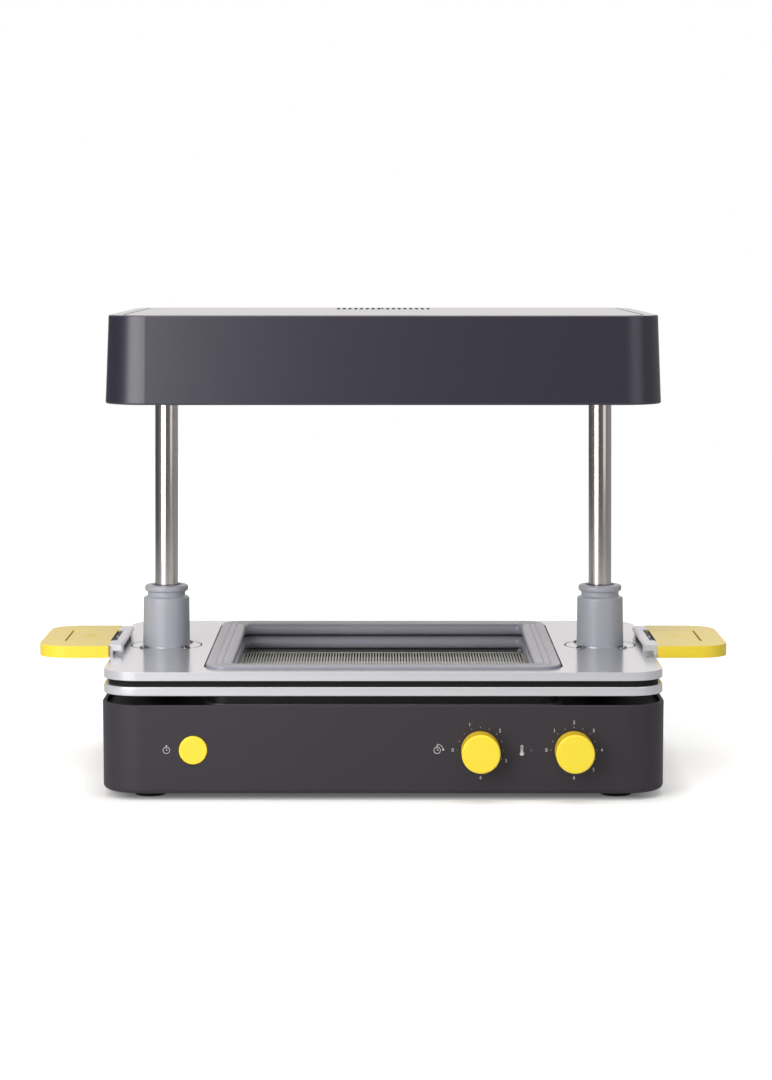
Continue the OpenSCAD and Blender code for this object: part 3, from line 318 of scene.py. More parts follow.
def leverLook():  # yellow plate, with painted shade where it turns in the bracket's slot
    look = Look("leverYellow", {"IOR": 1.5})
    inside = maskSizes["slotInside"] * mm
    # painted shade: the part inside the bracket's slot is dark
    plate = look.axis("x").unsigned().between(inside - 0.1 * mm, inside)
    fine = look.noise(2600, 3)
    yellow = tone(*finishes["handle_yellow"])
    clean = look.blend(fine, shade(yellow, 0.98), shade(yellow, 1.02))
    tint = look.blend(plate, tone(*details["leverRootShade"]), clean)
    return look.paint(colour=tint, rough=(1 - plate) * 0.3 + (fine - 0.5) * 0.1 + 0.3,
                      normal=look.bump(fine, 0.5, 0.012 * mm))


def knobLook():  # the rim is painted a deeper, more orange yellow than the face, as painted shade on the knob's sides
    look = Look("knobYellow", {"IOR": 1.5})
    front = low("timer_knob").y
    # painted shade: the rim on the knob's side takes the deeper orange yellow
    rim = look.axis("y").between(front + maskSizes["knobFace"] * mm, front + maskSizes["knobRimShade"] * mm)
    fine = look.noise(2600, 3)
    face = look.blend(fine, tone(*details["knobFace"]), tone(*details["knobFaceLight"]))
    tint = look.blend(rim, face, tone(*details["knobRimShade"]))
    return look.paint(colour=tint, rough=(fine - 0.5) * 0.12 + 0.34, normal=look.bump(fine, 0.5, 0.012 * mm))


def sealLook():  # silicone, with painted shade in the recess below the lower fold and along the crease between the folds
    look = Look("bellowsSilicone", {"IOR": 1.5})
    # painted shade: below the lower fold the silicone is nearly black
    recess = look.axis("z").between(maskSizes["recessShadeLow"] * mm, maskSizes["recessShadeHigh"] * mm)
    fine = look.noise(1200, 3)
    broad = look.noise(14, 2)
    grey = tone(*finishes["silicone"])
    clean = look.blend(broad, shade(grey, 0.97), shade(grey, 1.03))
    # painted shade: darker along the crease between the two folds
    crease = (look.axis("z") - maskSizes["crease"] * mm).unsigned().between(0.4 * mm, 1.2 * mm)
    creaseShaded = look.blend(crease, shade(grey, 0.3), clean)
    return look.paint(colour=look.blend(recess, shade(grey, 0.08), creaseShaded), rough=(fine - 0.5) * 0.08 + 0.26,
                      normal=look.bump(fine, 0.3, 0.004 * mm))


def trayLook():  # painted shade inside the joint round each collar's flange, where the silver turns dark and rough
    look = Look("traySilverUpper", {"IOR": 1.5})
    post = middle("post_right")
    across = look.axis("x").unsigned() - post.x
    along = look.axis("y") - post.y
    jointShade = maskSizes["flangeJoint"] * mm
    # painted shade: within the joint's reach of a post's axis and below the tray's top, the tray is dark and
    # rough
    outside = (across * across + along * along).root().between(jointShade, jointShade + maskSizes["fade"] * mm)
    top = high("upper_tray_frame").z
    above = look.axis("z").between(top - 0.3 * mm, top - 0.2 * mm)
    unshaded = (outside + above).clip()
    flake = look.noise(3800, 2)
    broad = look.noise(9, 2)
    silver = metal("tray")
    tint = look.blend(unshaded, tone(*details["jointShade"]), look.blend(flake, shade(silver, 0.95), shade(silver, 1.04)))
    return look.paint(colour=tint, metal=unshaded * trayGloss["metal"],
                      rough=(broad - 0.5) * 0.04 + trayGloss["rough"] + (1 - unshaded) * 0.6,
                      normal=look.bump(flake, 0.25, 0.006 * mm))


nodeLooks = {"bellows_seal": sealLook(), "upper_tray_frame": trayLook()}
for nodes, made in ((("heater_housing", "heater_top_panel"), headLook()),
                    (("collar_left", "collar_right"), collarLook()),
                    (("latch_lever_left", "latch_lever_right"), leverLook()),
                    (("timer_knob", "heater_knob"), knobLook())):
    nodeLooks.update(dict.fromkeys(nodes, made))


def lookOf(node):
    return nodeLooks.get(node) or looks[slotOf[node]]


for name, thing in frame["nodes"].items():
    thing.data.materials.clear()
    thing.data.materials.append(lookOf(name))


def addPiece(name, mesh, material=None):
    thing = bpy.data.objects.new(name, mesh)
    scene.collection.objects.link(thing)
    if material:
        mesh.materials.clear()
        mesh.materials.append(material)
    return thing


def standIn(thing, *nodes):  # the piece takes the place and the body of these solids
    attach(thing, frame["nodes"][nodes[0]]["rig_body"])
    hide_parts(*nodes)
    return thing


def easeShading(mesh, angle=32):  # smooth over gentle edges, crisp over the others
    form = bmesh.new()
    form.from_mesh(mesh)
    limit = math.radians(angle)
    for face in form.faces:
        face.smooth = True
    for edge in form.edges:
        edge.smooth = len(edge.link_faces) == 2 and edge.calc_face_angle(0) < limit
    form.to_mesh(mesh)
    form.free()


def settle(thing, angle=32):  # apply the modifiers and shade
    graph = bpy.context.evaluated_depsgraph_get()
    mesh = bpy.data.meshes.new_from_object(thing.evaluated_get(graph), depsgraph=graph)
    thing.modifiers.clear()
    thing.data = mesh
    easeShading(mesh, angle)
    return thing


# Geometry trees

class Grower:  # a geometry tree with named sizes
    def __init__(self, name, sizes):
        self.sizes = sizes
        self.tree = bpy.data.node_groups.new(name, "GeometryNodeTree")
        face = self.tree.interface
        face.new_socket("Geometry", in_out="INPUT", socket_type="NodeSocketGeometry")
        for label, value in sizes.items():
            kind = "NodeSocketInt" if isinstance(value, int) else "NodeSocketFloat"
            face.new_socket(label, in_out="INPUT", socket_type=kind)
        face.new_socket("Geometry", in_out="OUTPUT", socket_type="NodeSocketGeometry")
        self.start = self.tree.nodes.new("NodeGroupInput")
        self.end = self.tree.nodes.new("NodeGroupOutput")

    def size(self, label):
        return self.start.outputs[label]

    def node(self, kind, settings=None, values=None):
        made = self.tree.nodes.new(kind)
        for key, value in (settings or {}).items():
            setattr(made, key, value)
        for key, value in (values or {}).items():
            for part in value if isinstance(value, list) else [value]:
                if isinstance(part, bpy.types.NodeSocket):
                    self.tree.links.new(part, made.inputs[key])
                else:
                    made.inputs[key].default_value = part
        return made.outputs

    def maths(self, operation, first, second=0.0):
        return self.node("ShaderNodeMath", {"operation": operation}, {0: first, 1: second})[0]

    def vector(self, x=0.0, y=0.0, z=0.0):
        return self.node("ShaderNodeCombineXYZ", {}, {0: x, 1: y, 2: z})[0]

    def moved(self, shape, spot, turn=(0, 0, 0)):
        values = {"Geometry": shape, "Translation": spot, "Rotation": turn}
        return self.node("GeometryNodeTransform", {}, values)[0]

    def pierced(self, rim, hole, points, plate):  # a plate inside the rim with a hole on every point, top at 0
        holes = self.node("GeometryNodeInstanceOnPoints", {}, {"Points": points, "Instance": hole})[0]
        loops = self.node("GeometryNodeRealizeInstances", {}, {"Geometry": holes})[0]
        both = self.node("GeometryNodeJoinGeometry", {}, {0: [rim, loops]})[0]
        sheet = self.node("GeometryNodeFillCurve", {"mode": "TRIANGLES"}, {"Curve": both})[0]
        thick = self.node("GeometryNodeExtrudeMesh", {"mode": "FACES"}, {
            "Mesh": sheet, "Offset": self.vector(z=-1.0), "Offset Scale": plate, "Individual": False,
        })[0]
        below = self.node("GeometryNodeFlipFaces", {}, {"Mesh": thick})[0]
        whole = self.node("GeometryNodeJoinGeometry", {}, {0: [sheet, below]})[0]
        return self.node("GeometryNodeMergeByDistance", {}, {"Geometry": whole, "Distance": 0.002 * mm})[0]

    def grow(self, name, shape, material, seed=None, angle=32):
        real = self.node("GeometryNodeRealizeInstances", {}, {"Geometry": shape})[0]
        coated = self.node("GeometryNodeSetMaterial", {}, {"Geometry": real, "Material": material})[0]
        self.tree.links.new(coated, self.end.inputs[0])
        thing = addPiece(name, seed or bpy.data.meshes.new(name))
        modifier = thing.modifiers.new(name, "NODES")
        modifier.node_group = self.tree
        for item in self.tree.interface.items_tree:
            if item.in_out == "INPUT" and item.name in self.sizes:
                modifier[item.identifier] = self.sizes[item.name]
        thing.update_tag()
        settle(thing, angle)
        thing.data.materials.clear()
        thing.data.materials.append(material)
        return thing


# A copy of a solid with its edges rounded

softEdges = {"flangeReach": 27.5, "trayWindow": 119.6}  # edges this near a post's axis or the middle stay crisp


def softened(name, node, width, trim=0.0, window=0.0, steps=3, angle=40, flat=0.4, shadeAngle=32):
    postAxis = {1: middle("post_right"), -1: middle("post_left")}
    centre = middle(node)
    form = bmesh.new()
    form.from_mesh(frame["nodes"][node].data)
    bmesh.ops.remove_doubles(form, verts=form.verts, dist=0.004 * mm)
    bmesh.ops.dissolve_limit(form, angle_limit=math.radians(flat), verts=form.verts, edges=form.edges)
    weights = form.edges.layers.float.new("bevel_weight_edge")
    for edge in form.edges:
        spot = (edge.verts[0].co + edge.verts[1].co) / 2
        axis = postAxis[1 if spot.x > 0 else -1]
        nearPost = Vector((spot.x - axis.x, spot.y - axis.y)).length < softEdges["flangeReach"] * mm
        sharp = len(edge.link_faces) == 2 and edge.calc_face_angle(0) > math.radians(angle)
        inWindow = max(abs(spot.x - centre.x), abs(spot.y - centre.y)) < window * mm
        edge[weights] = 1.0 if sharp and not nearPost and not inWindow else 0.0
    for vertex in form.verts if trim else []:  # a little smaller in plan, which leaves an open joint round it
        for direction in range(2):
            vertex.co[direction] -= math.copysign(trim * mm, vertex.co[direction] - centre[direction])
    mesh = bpy.data.meshes.new(name)
    form.to_mesh(mesh)
    form.free()
    thing = addPiece(name, mesh, lookOf(node))
    bevel = thing.modifiers.new("edges", "BEVEL")
    bevel.width = width * mm
    bevel.segments = steps
    bevel.limit_method = "WEIGHT"
    bevel.miter_outer = "MITER_ARC"
    settle(thing, shadeAngle)
    flats = thing.modifiers.new("flats", "WEIGHTED_NORMAL")  # flat faces stay flat beside the rounded edges
    flats.keep_sharp = True
    graph = bpy.context.evaluated_depsgraph_get()
    thing.data = bpy.data.meshes.new_from_object(thing.evaluated_get(graph), depsgraph=graph)
    thing.modifiers.clear()
    return standIn(thing, node)


softenedPieces = {  # radius of the edges, trim in plan and reach of the window, in millimetres
    "lowerTrayFrame": ("lower_tray_frame", 0.8),
    "upperTrayFrame": ("upper_tray_frame", 0.8, 0.0, softEdges["trayWindow"]),
    "handleLeft": ("handle_left", 1.0), "handleRight": ("handle_right", 1.0),
    "latchLeverLeft": ("latch_lever_left", 0.35), "latchLeverRight": ("latch_lever_right", 0.35),
    "bracketLeft": ("bracket_left", 0.3), "bracketRight": ("bracket_right", 0.3),
    "topPanel": ("heater_top_panel", 0.3, 1.0),
}
for name, (node, *sizes) in softenedPieces.items():
    softened(name, node, *sizes)


def trimmedCollar(name, node, trim=0.5):  # the collar with an open joint round its flange
    axis = middle(node)
    form = bmesh.new()
    form.from_mesh(frame["nodes"][node].data)
    bmesh.ops.remove_doubles(form, verts=form.verts, dist=0.004 * mm)
    widest = (high(node).x - low(node).x) / 2
    for vertex in form.verts:
        out = Vector((vertex.co.x - axis.x, vertex.co.y - axis.y))
        if out.length > widest - 0.6 * mm:
            out *= (out.length - trim * mm) / out.length
            vertex.co.x = axis.x + out.x
            vertex.co.y = axis.y + out.y
    mesh = bpy.data.meshes.new(name)
    form.to_mesh(mesh)
    form.free()
    easeShading(mesh)
    return standIn(addPiece(name, mesh, lookOf(node)), node)


trimmedCollar("collarLeft", "collar_left")
trimmedCollar("collarRight", "collar_right")
print("edges rounded")


# Perforated bed

bedSizes = {
    "slotPitch": 2.07, "slotWidth": 1.0, "slotLength": 47.4, "bridge": 2.4, "margin": 1.4, "corner": 8.0,
    "plate": 0.45,
}


def makeBed():
    lowest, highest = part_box("vacuum_bed")
    width = highest.x - lowest.x
    depth = highest.y - lowest.y
    pitch = bedSizes["slotPitch"] * mm
    rowPitch = (bedSizes["slotLength"] + bedSizes["bridge"]) * mm
    margin = bedSizes["margin"] * mm
    columns = int((width - 2 * margin) / pitch)
    rows = int((depth - 2 * margin + bedSizes["bridge"] * mm) / rowPitch)
    grower = Grower("perforatedPlate", {
        "width": width, "depth": depth, "corner": bedSizes["corner"] * mm, "plate": bedSizes["plate"] * mm,
        "slotWidth": bedSizes["slotWidth"] * mm, "slotLength": bedSizes["slotLength"] * mm,
        "columns": columns, "rows": rows, "slotPitch": pitch, "rowPitch": rowPitch, "top": highest.z,
        "middleY": middle("vacuum_bed").y,
    })

    def roundedBox(wide, deep, radius, steps):
        box = grower.node("GeometryNodeCurvePrimitiveQuadrilateral", {}, {"Width": wide, "Height": deep})[0]
        values = {"Curve": box, "Radius": radius, "Count": steps}
        return grower.node("GeometryNodeFilletCurve", {"mode": "POLY"}, values)[0]

    rim = roundedBox(grower.size("width"), grower.size("depth"), grower.size("corner"), 8)
    slotEnd = grower.maths("MULTIPLY", grower.size("slotWidth"), 0.49)
    slot = roundedBox(grower.size("slotWidth"), grower.size("slotLength"), slotEnd, 1)

    def span(count, pitch):
        return grower.maths("MULTIPLY", grower.maths("SUBTRACT", grower.size(count), 1.0), grower.size(pitch))

    grid = grower.node("GeometryNodeMeshGrid", {}, {
        "Size X": span("columns", "slotPitch"), "Size Y": span("rows", "rowPitch"),
        "Vertices X": grower.size("columns"), "Vertices Y": grower.size("rows"),
    })[0]
    sheet = grower.pierced(rim, slot, grid, grower.size("plate"))
    placed = grower.moved(sheet, grower.vector(y=grower.size("middleY"), z=grower.size("top")))
    bed = grower.grow("perforatedBed", placed, looks["bed_steel"], angle=30)
    standIn(bed, "vacuum_bed")
    return bed


filterSizes = {  # millimetres
    "seat": 0.4, "play": 0.15, "plate": 3.0, "hole": 0.5, "pitch": 2.2, "rim": 1.4, "bore": 17.5,
}


def makePortFilter():  # a perforated disc inside the hose port
    across = filterSizes["bore"] - filterSizes["play"]
    count = 2 * int(across / filterSizes["pitch"]) + 1
    grower = Grower("portFilter", {
        "radius": across * mm, "plate": filterSizes["plate"] * mm, "hole": filterSizes["hole"] * mm,
        "span": (count - 1) * filterSizes["pitch"] * mm, "count": count, "rim": filterSizes["rim"] * mm,
        "depth": low("hose_port").y + (filterSizes["seat"] + filterSizes["plate"]) * mm,
        "height": middle("hose_port").z,
    })

    def circle(steps, radius):
        values = {"Resolution": steps, "Radius": grower.size(radius)}
        return grower.node("GeometryNodeCurvePrimitiveCircle", {}, values)[0]

    rim = circle(48, "radius")
    hole = circle(8, "hole")
    grid = grower.node("GeometryNodeMeshGrid", {}, {
        "Size X": grower.size("span"), "Size Y": grower.size("span"),
        "Vertices X": grower.size("count"), "Vertices Y": grower.size("count"),
    })[0]
    place = grower.node("GeometryNodeInputPosition")[0]
    out = grower.node("ShaderNodeVectorMath", {"operation": "LENGTH"}, {0: place})["Value"]
    reach = grower.maths("SUBTRACT", grower.size("radius"), grower.size("rim"))
    outside = grower.maths("GREATER_THAN", out, reach)
    values = {"Geometry": grid, "Selection": outside}
    inside = grower.node("GeometryNodeDeleteGeometry", {"domain": "POINT"}, values)[0]
    disc = grower.pierced(rim, hole, inside, grower.size("plate"))
    spot = grower.vector(y=grower.size("depth"), z=grower.size("height"))
    made = grower.grow("portFilter", grower.moved(disc, spot, (math.radians(-90), 0, 0)), looks["black_plastic"])
    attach(made, "base")
    return made


makeBed()
makePortFilter()
print("bed perforated")


# Bellows seal

def arcPoints(x, y, radius, start, end, steps):
    return [(x + radius * math.cos(math.radians(start + (end - start) * step / steps)),
             y + radius * math.sin(math.radians(start + (end - start) * step / steps)))
            for step in range(steps + 1)]


def cornerLoop(halfX, halfY, radius, steps):  # a rounded rectangle, counter-clockwise
    loop = []
    for turn, (signX, signY) in enumerate([(1, 1), (-1, 1), (-1, -1), (1, -1)]):
        centre = (signX * (halfX - radius), signY * (halfY - radius))
        loop += arcPoints(*centre, radius, 90 * turn, 90 * turn + 90, steps)
    return loop


sealSizes = {  # millimetres
    "wall": 1.9, "lipReach": 13.5, "lipInset": 0.45, "lipCorner": 14.1, "foldCorner": 8.0, "fold": 4.1,
    "foldPitch": 10.0, "skirt": 6.2, "edge": 0.7, "grooves": (6.2, 10.54), "grooveHalf": 0.5, "grooveDeep": 0.6,
    "throat": -0.5, "recess": 1.9, "footReach": 8.9, "foot": 1.8, "crease": 1.5, "sag": 0.22,
    "cornerSteps": 12, "sideSteps": 20,
}


def sealSection(top, floor):  # distance out from the folds' axis and height, round the wall
    size = sealSizes
    wall = size["wall"]
    reach = size["lipReach"] - size["lipInset"]
    fold = size["fold"]
    upper = top - fold
    lower = upper - size["foldPitch"]
    crease = size["crease"]
    points = [(reach, top - size["skirt"])]
    points += arcPoints(reach - size["edge"], top - size["edge"], size["edge"], 0, 90, 4)
    for spot in size["grooves"]:
        centre = reach - spot
        half = size["grooveHalf"]
        points += [(centre + half * 1.5, top), (centre + half * 0.7, top - size["grooveDeep"] * 0.45),
                   (centre, top - size["grooveDeep"]), (centre - half * 0.7, top - size["grooveDeep"] * 0.45),
                   (centre - half * 1.5, top)]
    points += arcPoints(0, upper, fold, 90, 262, 12)
    points += [(crease * 0.2, upper - fold - crease * 0.6), (crease, (upper + lower) / 2),
               (crease * 0.2, lower + fold + crease * 0.6)]
    points += arcPoints(0, lower, fold, 98, 258, 12)
    points += [(size["recess"] * 0.5, lower - fold + 0.1), (size["recess"], lower - fold - 0.7),
               (size["recess"] * 0.8, floor + size["foot"] + 0.5), (-size["throat"], floor + size["foot"] - 0.3),
               (-size["throat"], floor), (size["footReach"], floor), (size["footReach"], floor + size["foot"]),
               (wall - size["throat"], floor + size["foot"]), (wall + size["recess"], lower - fold - 0.4),
               (wall + size["recess"] * 0.8, lower - fold + wall)]
    points += arcPoints(0, lower, fold - wall, 255, 90, 8)
    points += [(fold, lower + fold - wall), (fold, upper - fold + wall)]
    points += arcPoints(0, upper, fold - wall, 270, 90, 8)
    points += [(reach - wall, top - wall), (reach - wall, top - size["skirt"])]
    return points


def denseLoop(loop):  # extra points along the straight sides
    dense = []
    for index, (x, y) in enumerate(loop):
        nextX, nextY = loop[(index + 1) % len(loop)]
        straight = (index + 1) % (sealSizes["cornerSteps"] + 1) == 0
        count = sealSizes["sideSteps"] if straight else 1
        dense += [(x + (nextX - x) * part / count, y + (nextY - y) * part / count) for part in range(count)]
    return dense


def makeSeal():
    lowest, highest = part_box("bellows_seal")
    centre = middle("bellows_seal")
    foldX = (highest.x - lowest.x) / 2 / mm - sealSizes["lipReach"]
    foldY = (highest.y - lowest.y) / 2 / mm - sealSizes["lipReach"]
    lean = (sealSizes["lipCorner"] - sealSizes["foldCorner"]) / sealSizes["lipReach"]
    form = bmesh.new()
    rings = []
    for out, up in sealSection(highest.z / mm, lowest.z / mm):
        corner = sealSizes["foldCorner"] + out * (lean if out > 0 else 1)
        halfX = foldX + out
        halfY = foldY + out
        ring = []
        for x, y in denseLoop(cornerLoop(halfX, halfY, corner, sealSizes["cornerSteps"])):
            bow = max(0.0, -out) / sealSizes["fold"] * sealSizes["sag"]  # the folds sag between the corners
            along = (1 - (x / halfX) ** 2) if abs(abs(y) - halfY) < 0.01 else (1 - (y / halfY) ** 2)
            shiftX = -bow * along * math.copysign(1, x) if abs(abs(x) - halfX) < 0.01 else 0
            shiftY = -bow * along * math.copysign(1, y) if abs(abs(y) - halfY) < 0.01 else 0
            ring.append(form.verts.new(((x + shiftX) * mm, (y + shiftY) * mm + centre.y, up * mm)))
        rings.append(ring)
    for index, ring in enumerate(rings):
        following = rings[(index + 1) % len(rings)]
        for side in range(len(ring)):
            other = (side + 1) % len(ring)
            form.faces.new((ring[side], ring[other], following[other], following[side]))
    bmesh.ops.recalc_face_normals(form, faces=form.faces)
    mesh = bpy.data.meshes.new("bellowsSeal")
    form.to_mesh(mesh)
    form.free()
    easeShading(mesh, 50)
    return standIn(addPiece("bellowsSeal", mesh, lookOf("bellows_seal")), "bellows_seal")


makeSeal()
print("seal folded")


# Screws

screwSizes = {  # radius of the head, its height, radius and depth of the hexagon, in millimetres
    "collarScrews": ("collar_screws", 3.3, 2.6, 1.5, 1.2, 0.8, 1),
    "handleScrews": ("handle_screws", 2.9, 1.4, 1.3, 0.9, 0.35, -1),
    "coverScrews": ("cover_screws", 0, 0, 1.4, 1.0, 0.4, -1),
    "grilleScrews": ("grille_screws", 0, 0, 1.4, 1.0, 0.4, -1),
}
headDepth = 1.3  # height of the solids' own heads


def islands(node):  # boxes of a solid's separate pieces
    form = bmesh.new()
    form.from_mesh(frame["nodes"][node].data)
    bmesh.ops.remove_doubles(form, verts=form.verts, dist=0.004 * mm)
    left = set(form.verts)
    boxes = []
    while left:
        front = [left.pop()]
        found = list(front)
        while front:
            vertex = front.pop()
            for edge in vertex.link_edges:
                other = edge.other_vert(vertex)
                if other in left:
                    left.remove(other)
                    front.append(other)
                    found.append(other)
        corners = [[pick(vertex.co[axis] for vertex in found) for axis in range(3)] for pick in (min, max)]
        boxes.append((Vector(corners[0]), Vector(corners[1])))
    form.free()
    return sorted(boxes, key=lambda box: tuple(round(part, 4) for part in box[0]))


def makeScrews(name, node, headR, headH, hexR, hexDeep, edge, facing):
    boxes = islands(node)
    if headR == 0:  # the head as large as the solid's own
        headR = (boxes[0][1].x - boxes[0][0].x) / 2 / mm
        headH = headDepth
    grower = Grower(name, {"headRadius": headR * mm, "headHeight": headH * mm, "hexRadius": hexR * mm,
                           "hexDepth": hexDeep * mm, "edge": edge * mm, "sides": 24})
    sides = grower.size("sides")
    topR = grower.maths("SUBTRACT", grower.size("headRadius"), grower.size("edge"))
    sideH = grower.maths("SUBTRACT", grower.size("headHeight"), grower.size("edge"))
    rim = grower.node("GeometryNodeCurvePrimitiveCircle", {"mode": "RADIUS"},
                      {"Resolution": sides, "Radius": topR})[0]
    hexagon = grower.node("GeometryNodeCurvePrimitiveCircle", {"mode": "RADIUS"},
                          {"Resolution": 6, "Radius": grower.size("hexRadius")})[0]
    loops = grower.node("GeometryNodeJoinGeometry", {}, {0: [rim, hexagon]})[0]
    face = grower.node("GeometryNodeFillCurve", {"mode": "TRIANGLES"}, {"Curve": loops})[0]
    top = grower.moved(face, grower.vector(z=grower.size("headHeight")))
    bevel = grower.node("GeometryNodeMeshCone", {"fill_type": "NONE"}, {
        "Vertices": sides, "Radius Top": topR, "Radius Bottom": grower.size("headRadius"),
        "Depth": grower.size("edge"),
    })[0]
    bevel = grower.moved(bevel, grower.vector(z=sideH))
    side = grower.node("GeometryNodeMeshCylinder", {"fill_type": "NONE"}, {
        "Vertices": sides, "Radius": grower.size("headRadius"), "Depth": sideH})[0]
    side = grower.moved(side, grower.vector(z=grower.maths("MULTIPLY", sideH, 0.5)))
    base = grower.node("GeometryNodeMeshCircle", {"fill_type": "NGON"},
                       {"Vertices": sides, "Radius": grower.size("headRadius")})[0]
    base = grower.node("GeometryNodeFlipFaces", {}, {"Mesh": base})[0]
    wall = grower.node("GeometryNodeMeshCylinder", {"fill_type": "NONE"}, {
        "Vertices": 6, "Radius": grower.size("hexRadius"), "Depth": grower.size("hexDepth")})[0]
    wall = grower.node("GeometryNodeFlipFaces", {}, {"Mesh": wall})[0]
    halfDeep = grower.maths("MULTIPLY", grower.size("hexDepth"), 0.5)
    wall = grower.moved(wall, grower.vector(z=grower.maths("SUBTRACT", grower.size("headHeight"), halfDeep)))
    floor = grower.node("GeometryNodeMeshCircle", {"fill_type": "NGON"},
                        {"Vertices": 6, "Radius": grower.size("hexRadius")})[0]
    floorZ = grower.maths("SUBTRACT", grower.size("headHeight"), grower.size("hexDepth"))
    floor = grower.moved(floor, grower.vector(z=floorZ))
    parts = [top, bevel, side, base, wall, floor]
    joined = grower.node("GeometryNodeJoinGeometry", {}, {0: parts})[0]
    screw = grower.node("GeometryNodeMergeByDistance", {}, {"Geometry": joined, "Distance": 0.01 * mm})[0]
    turn = grower.vector(x=0 if facing > 0 else math.pi)
    dots = grower.node("GeometryNodeInstanceOnPoints", {}, {
        "Points": grower.start.outputs["Geometry"], "Instance": screw, "Rotation": turn})[0]
    seed = bpy.data.meshes.new(name)
    spots = []
    for lowest, highest in boxes:
        centre = (lowest + highest) / 2
        foot = highest.z - headDepth * mm if facing > 0 else lowest.z + headH * mm
        spots.append((centre.x, centre.y, foot))
    seed.from_pydata(spots, [], [])
    screws = grower.grow(name, dots, looks["screw_dark"], seed)
    return standIn(screws, node)


for name, (node, *sizes) in screwSizes.items():
    makeScrews(name, node, *sizes)
print("screws driven")


# Latch springs

springSizes = {"coil": 1.25, "wire": 0.36, "pitch": 1.45, "turns": 5.5}


def makeSprings():
    boxes = islands("latch_pins")
    grower = Grower("latchSprings", {"coil": springSizes["coil"] * mm, "wire": springSizes["wire"] * mm,
                                     "turns": springSizes["turns"],
                                     "length": springSizes["turns"] * springSizes["pitch"] * mm})
    helix = grower.node("GeometryNodeCurveSpiral", {}, {
        "Resolution": 14, "Rotations": grower.size("turns"), "Start Radius": grower.size("coil"),
        "End Radius": grower.size("coil"), "Height": grower.size("length")})[0]
    middleZ = grower.maths("MULTIPLY", grower.size("length"), -0.5)
    helix = grower.moved(helix, grower.vector(z=middleZ))
    ring = grower.node("GeometryNodeCurvePrimitiveCircle", {"mode": "RADIUS"},
                       {"Resolution": 7, "Radius": grower.size("wire")})[0]
    values = {"Curve": helix, "Profile Curve": ring, "Fill Caps": True}
    wire = grower.node("GeometryNodeCurveToMesh", {}, values)[0]
    turned = grower.moved(wire, (0, 0, 0), (math.pi / 2, 0, 0))
    dots = grower.node("GeometryNodeInstanceOnPoints", {}, {
        "Points": grower.start.outputs["Geometry"], "Instance": turned})[0]
    seed = bpy.data.meshes.new("latchSprings")
    seed.from_pydata([(lowest + highest) / 2 for lowest, highest in boxes], [], [])
    springs = grower.grow("latchSprings", dots, looks["spring_steel"], seed, 60)
    return standIn(springs, "latch_springs")


makeSprings()
print("springs wound")


# Printed marks round the dials

dialSizes = {
    "dotRing": 14.9, "dotRadius": 0.24, "digitRing": 18.0, "digitHeight": 2.35, "dotStep": 22.5,
    "thick": 0.04, "clockRadius": 2.3, "clockLine": 0.34, "arrowOut": 1.8, "arrowHead": 0.8, "fontRatio": 1.38,
    "startMark": 17.3, "timerMark": 28.1, "heaterMark": 33.9, "dots": 13,
}
dialDigits = {  # the angle of each number round its knob
    "timer_knob": {"0": 180, "1": 112.5, "2": 45, "3": -22.5, "4": -90},
    "heater_knob": {"0": 180, "1": 135, "2": 90, "3": 45, "4": 0, "5": -45, "6": -90},
}
baseForm = bmesh.new()
baseForm.from_mesh(frame["nodes"]["base_housing"].data)
baseSurface = BVHTree.FromBMesh(baseForm)
baseFront = low("base_housing").y


def faceY(x, z):
    spot = baseSurface.ray_cast(Vector((x, baseFront - 0.05, z)), Vector((0, 1, 0)))[0]
    return spot.y if spot else baseFront


def flatMark(outline, holes=()):  # a thin plate on the front face, outline in x and z
    form = bmesh.new()
    loops = []
    for points in [outline, *holes]:
        verts = [form.verts.new((x, 0, z)) for x, z in points]
        loops += [form.edges.new((verts[i], verts[(i + 1) % len(verts)])) for i in range(len(verts))]
    bmesh.ops.triangle_fill(form, edges=loops, use_beauty=True, use_dissolve=False, normal=(0, -1, 0))
    mesh = bpy.data.meshes.new("mark")
    form.to_mesh(mesh)
    form.free()
    return mesh


def circlePoints(x, z, radius, steps=28):
    turns = [2 * math.pi * step / steps for step in range(steps)]
    return [(x + radius * math.cos(turn), z + radius * math.sin(turn)) for turn in turns]


def barPoints(x0, z0, x1, z1, width):
    along = Vector((x1 - x0, z1 - z0)).normalized() * width / 2
    side = Vector((-along.y, along.x))
    return [(x0 - side.x, z0 - side.y), (x1 - side.x, z1 - side.y),
            (x1 + side.x, z1 + side.y), (x0 + side.x, z0 + side.y)]


def digitMesh(word, x, z):
    curve = bpy.data.curves.new("digit", "FONT")
    curve.body = word
    curve.size = dialSizes["digitHeight"] * mm * dialSizes["fontRatio"]
    curve.align_x = "CENTER"
    curve.align_y = "CENTER"
    curve.resolution_u = 6
    thing = bpy.data.objects.new("digit", curve)
    scene.collection.objects.link(thing)
    graph = bpy.context.evaluated_depsgraph_get()
    mesh = bpy.data.meshes.new_from_object(thing.evaluated_get(graph), depsgraph=graph)
    bpy.data.objects.remove(thing)
    for vertex in mesh.vertices:
        vertex.co = Vector((vertex.co.x + x, 0, vertex.co.y + z))
    return mesh


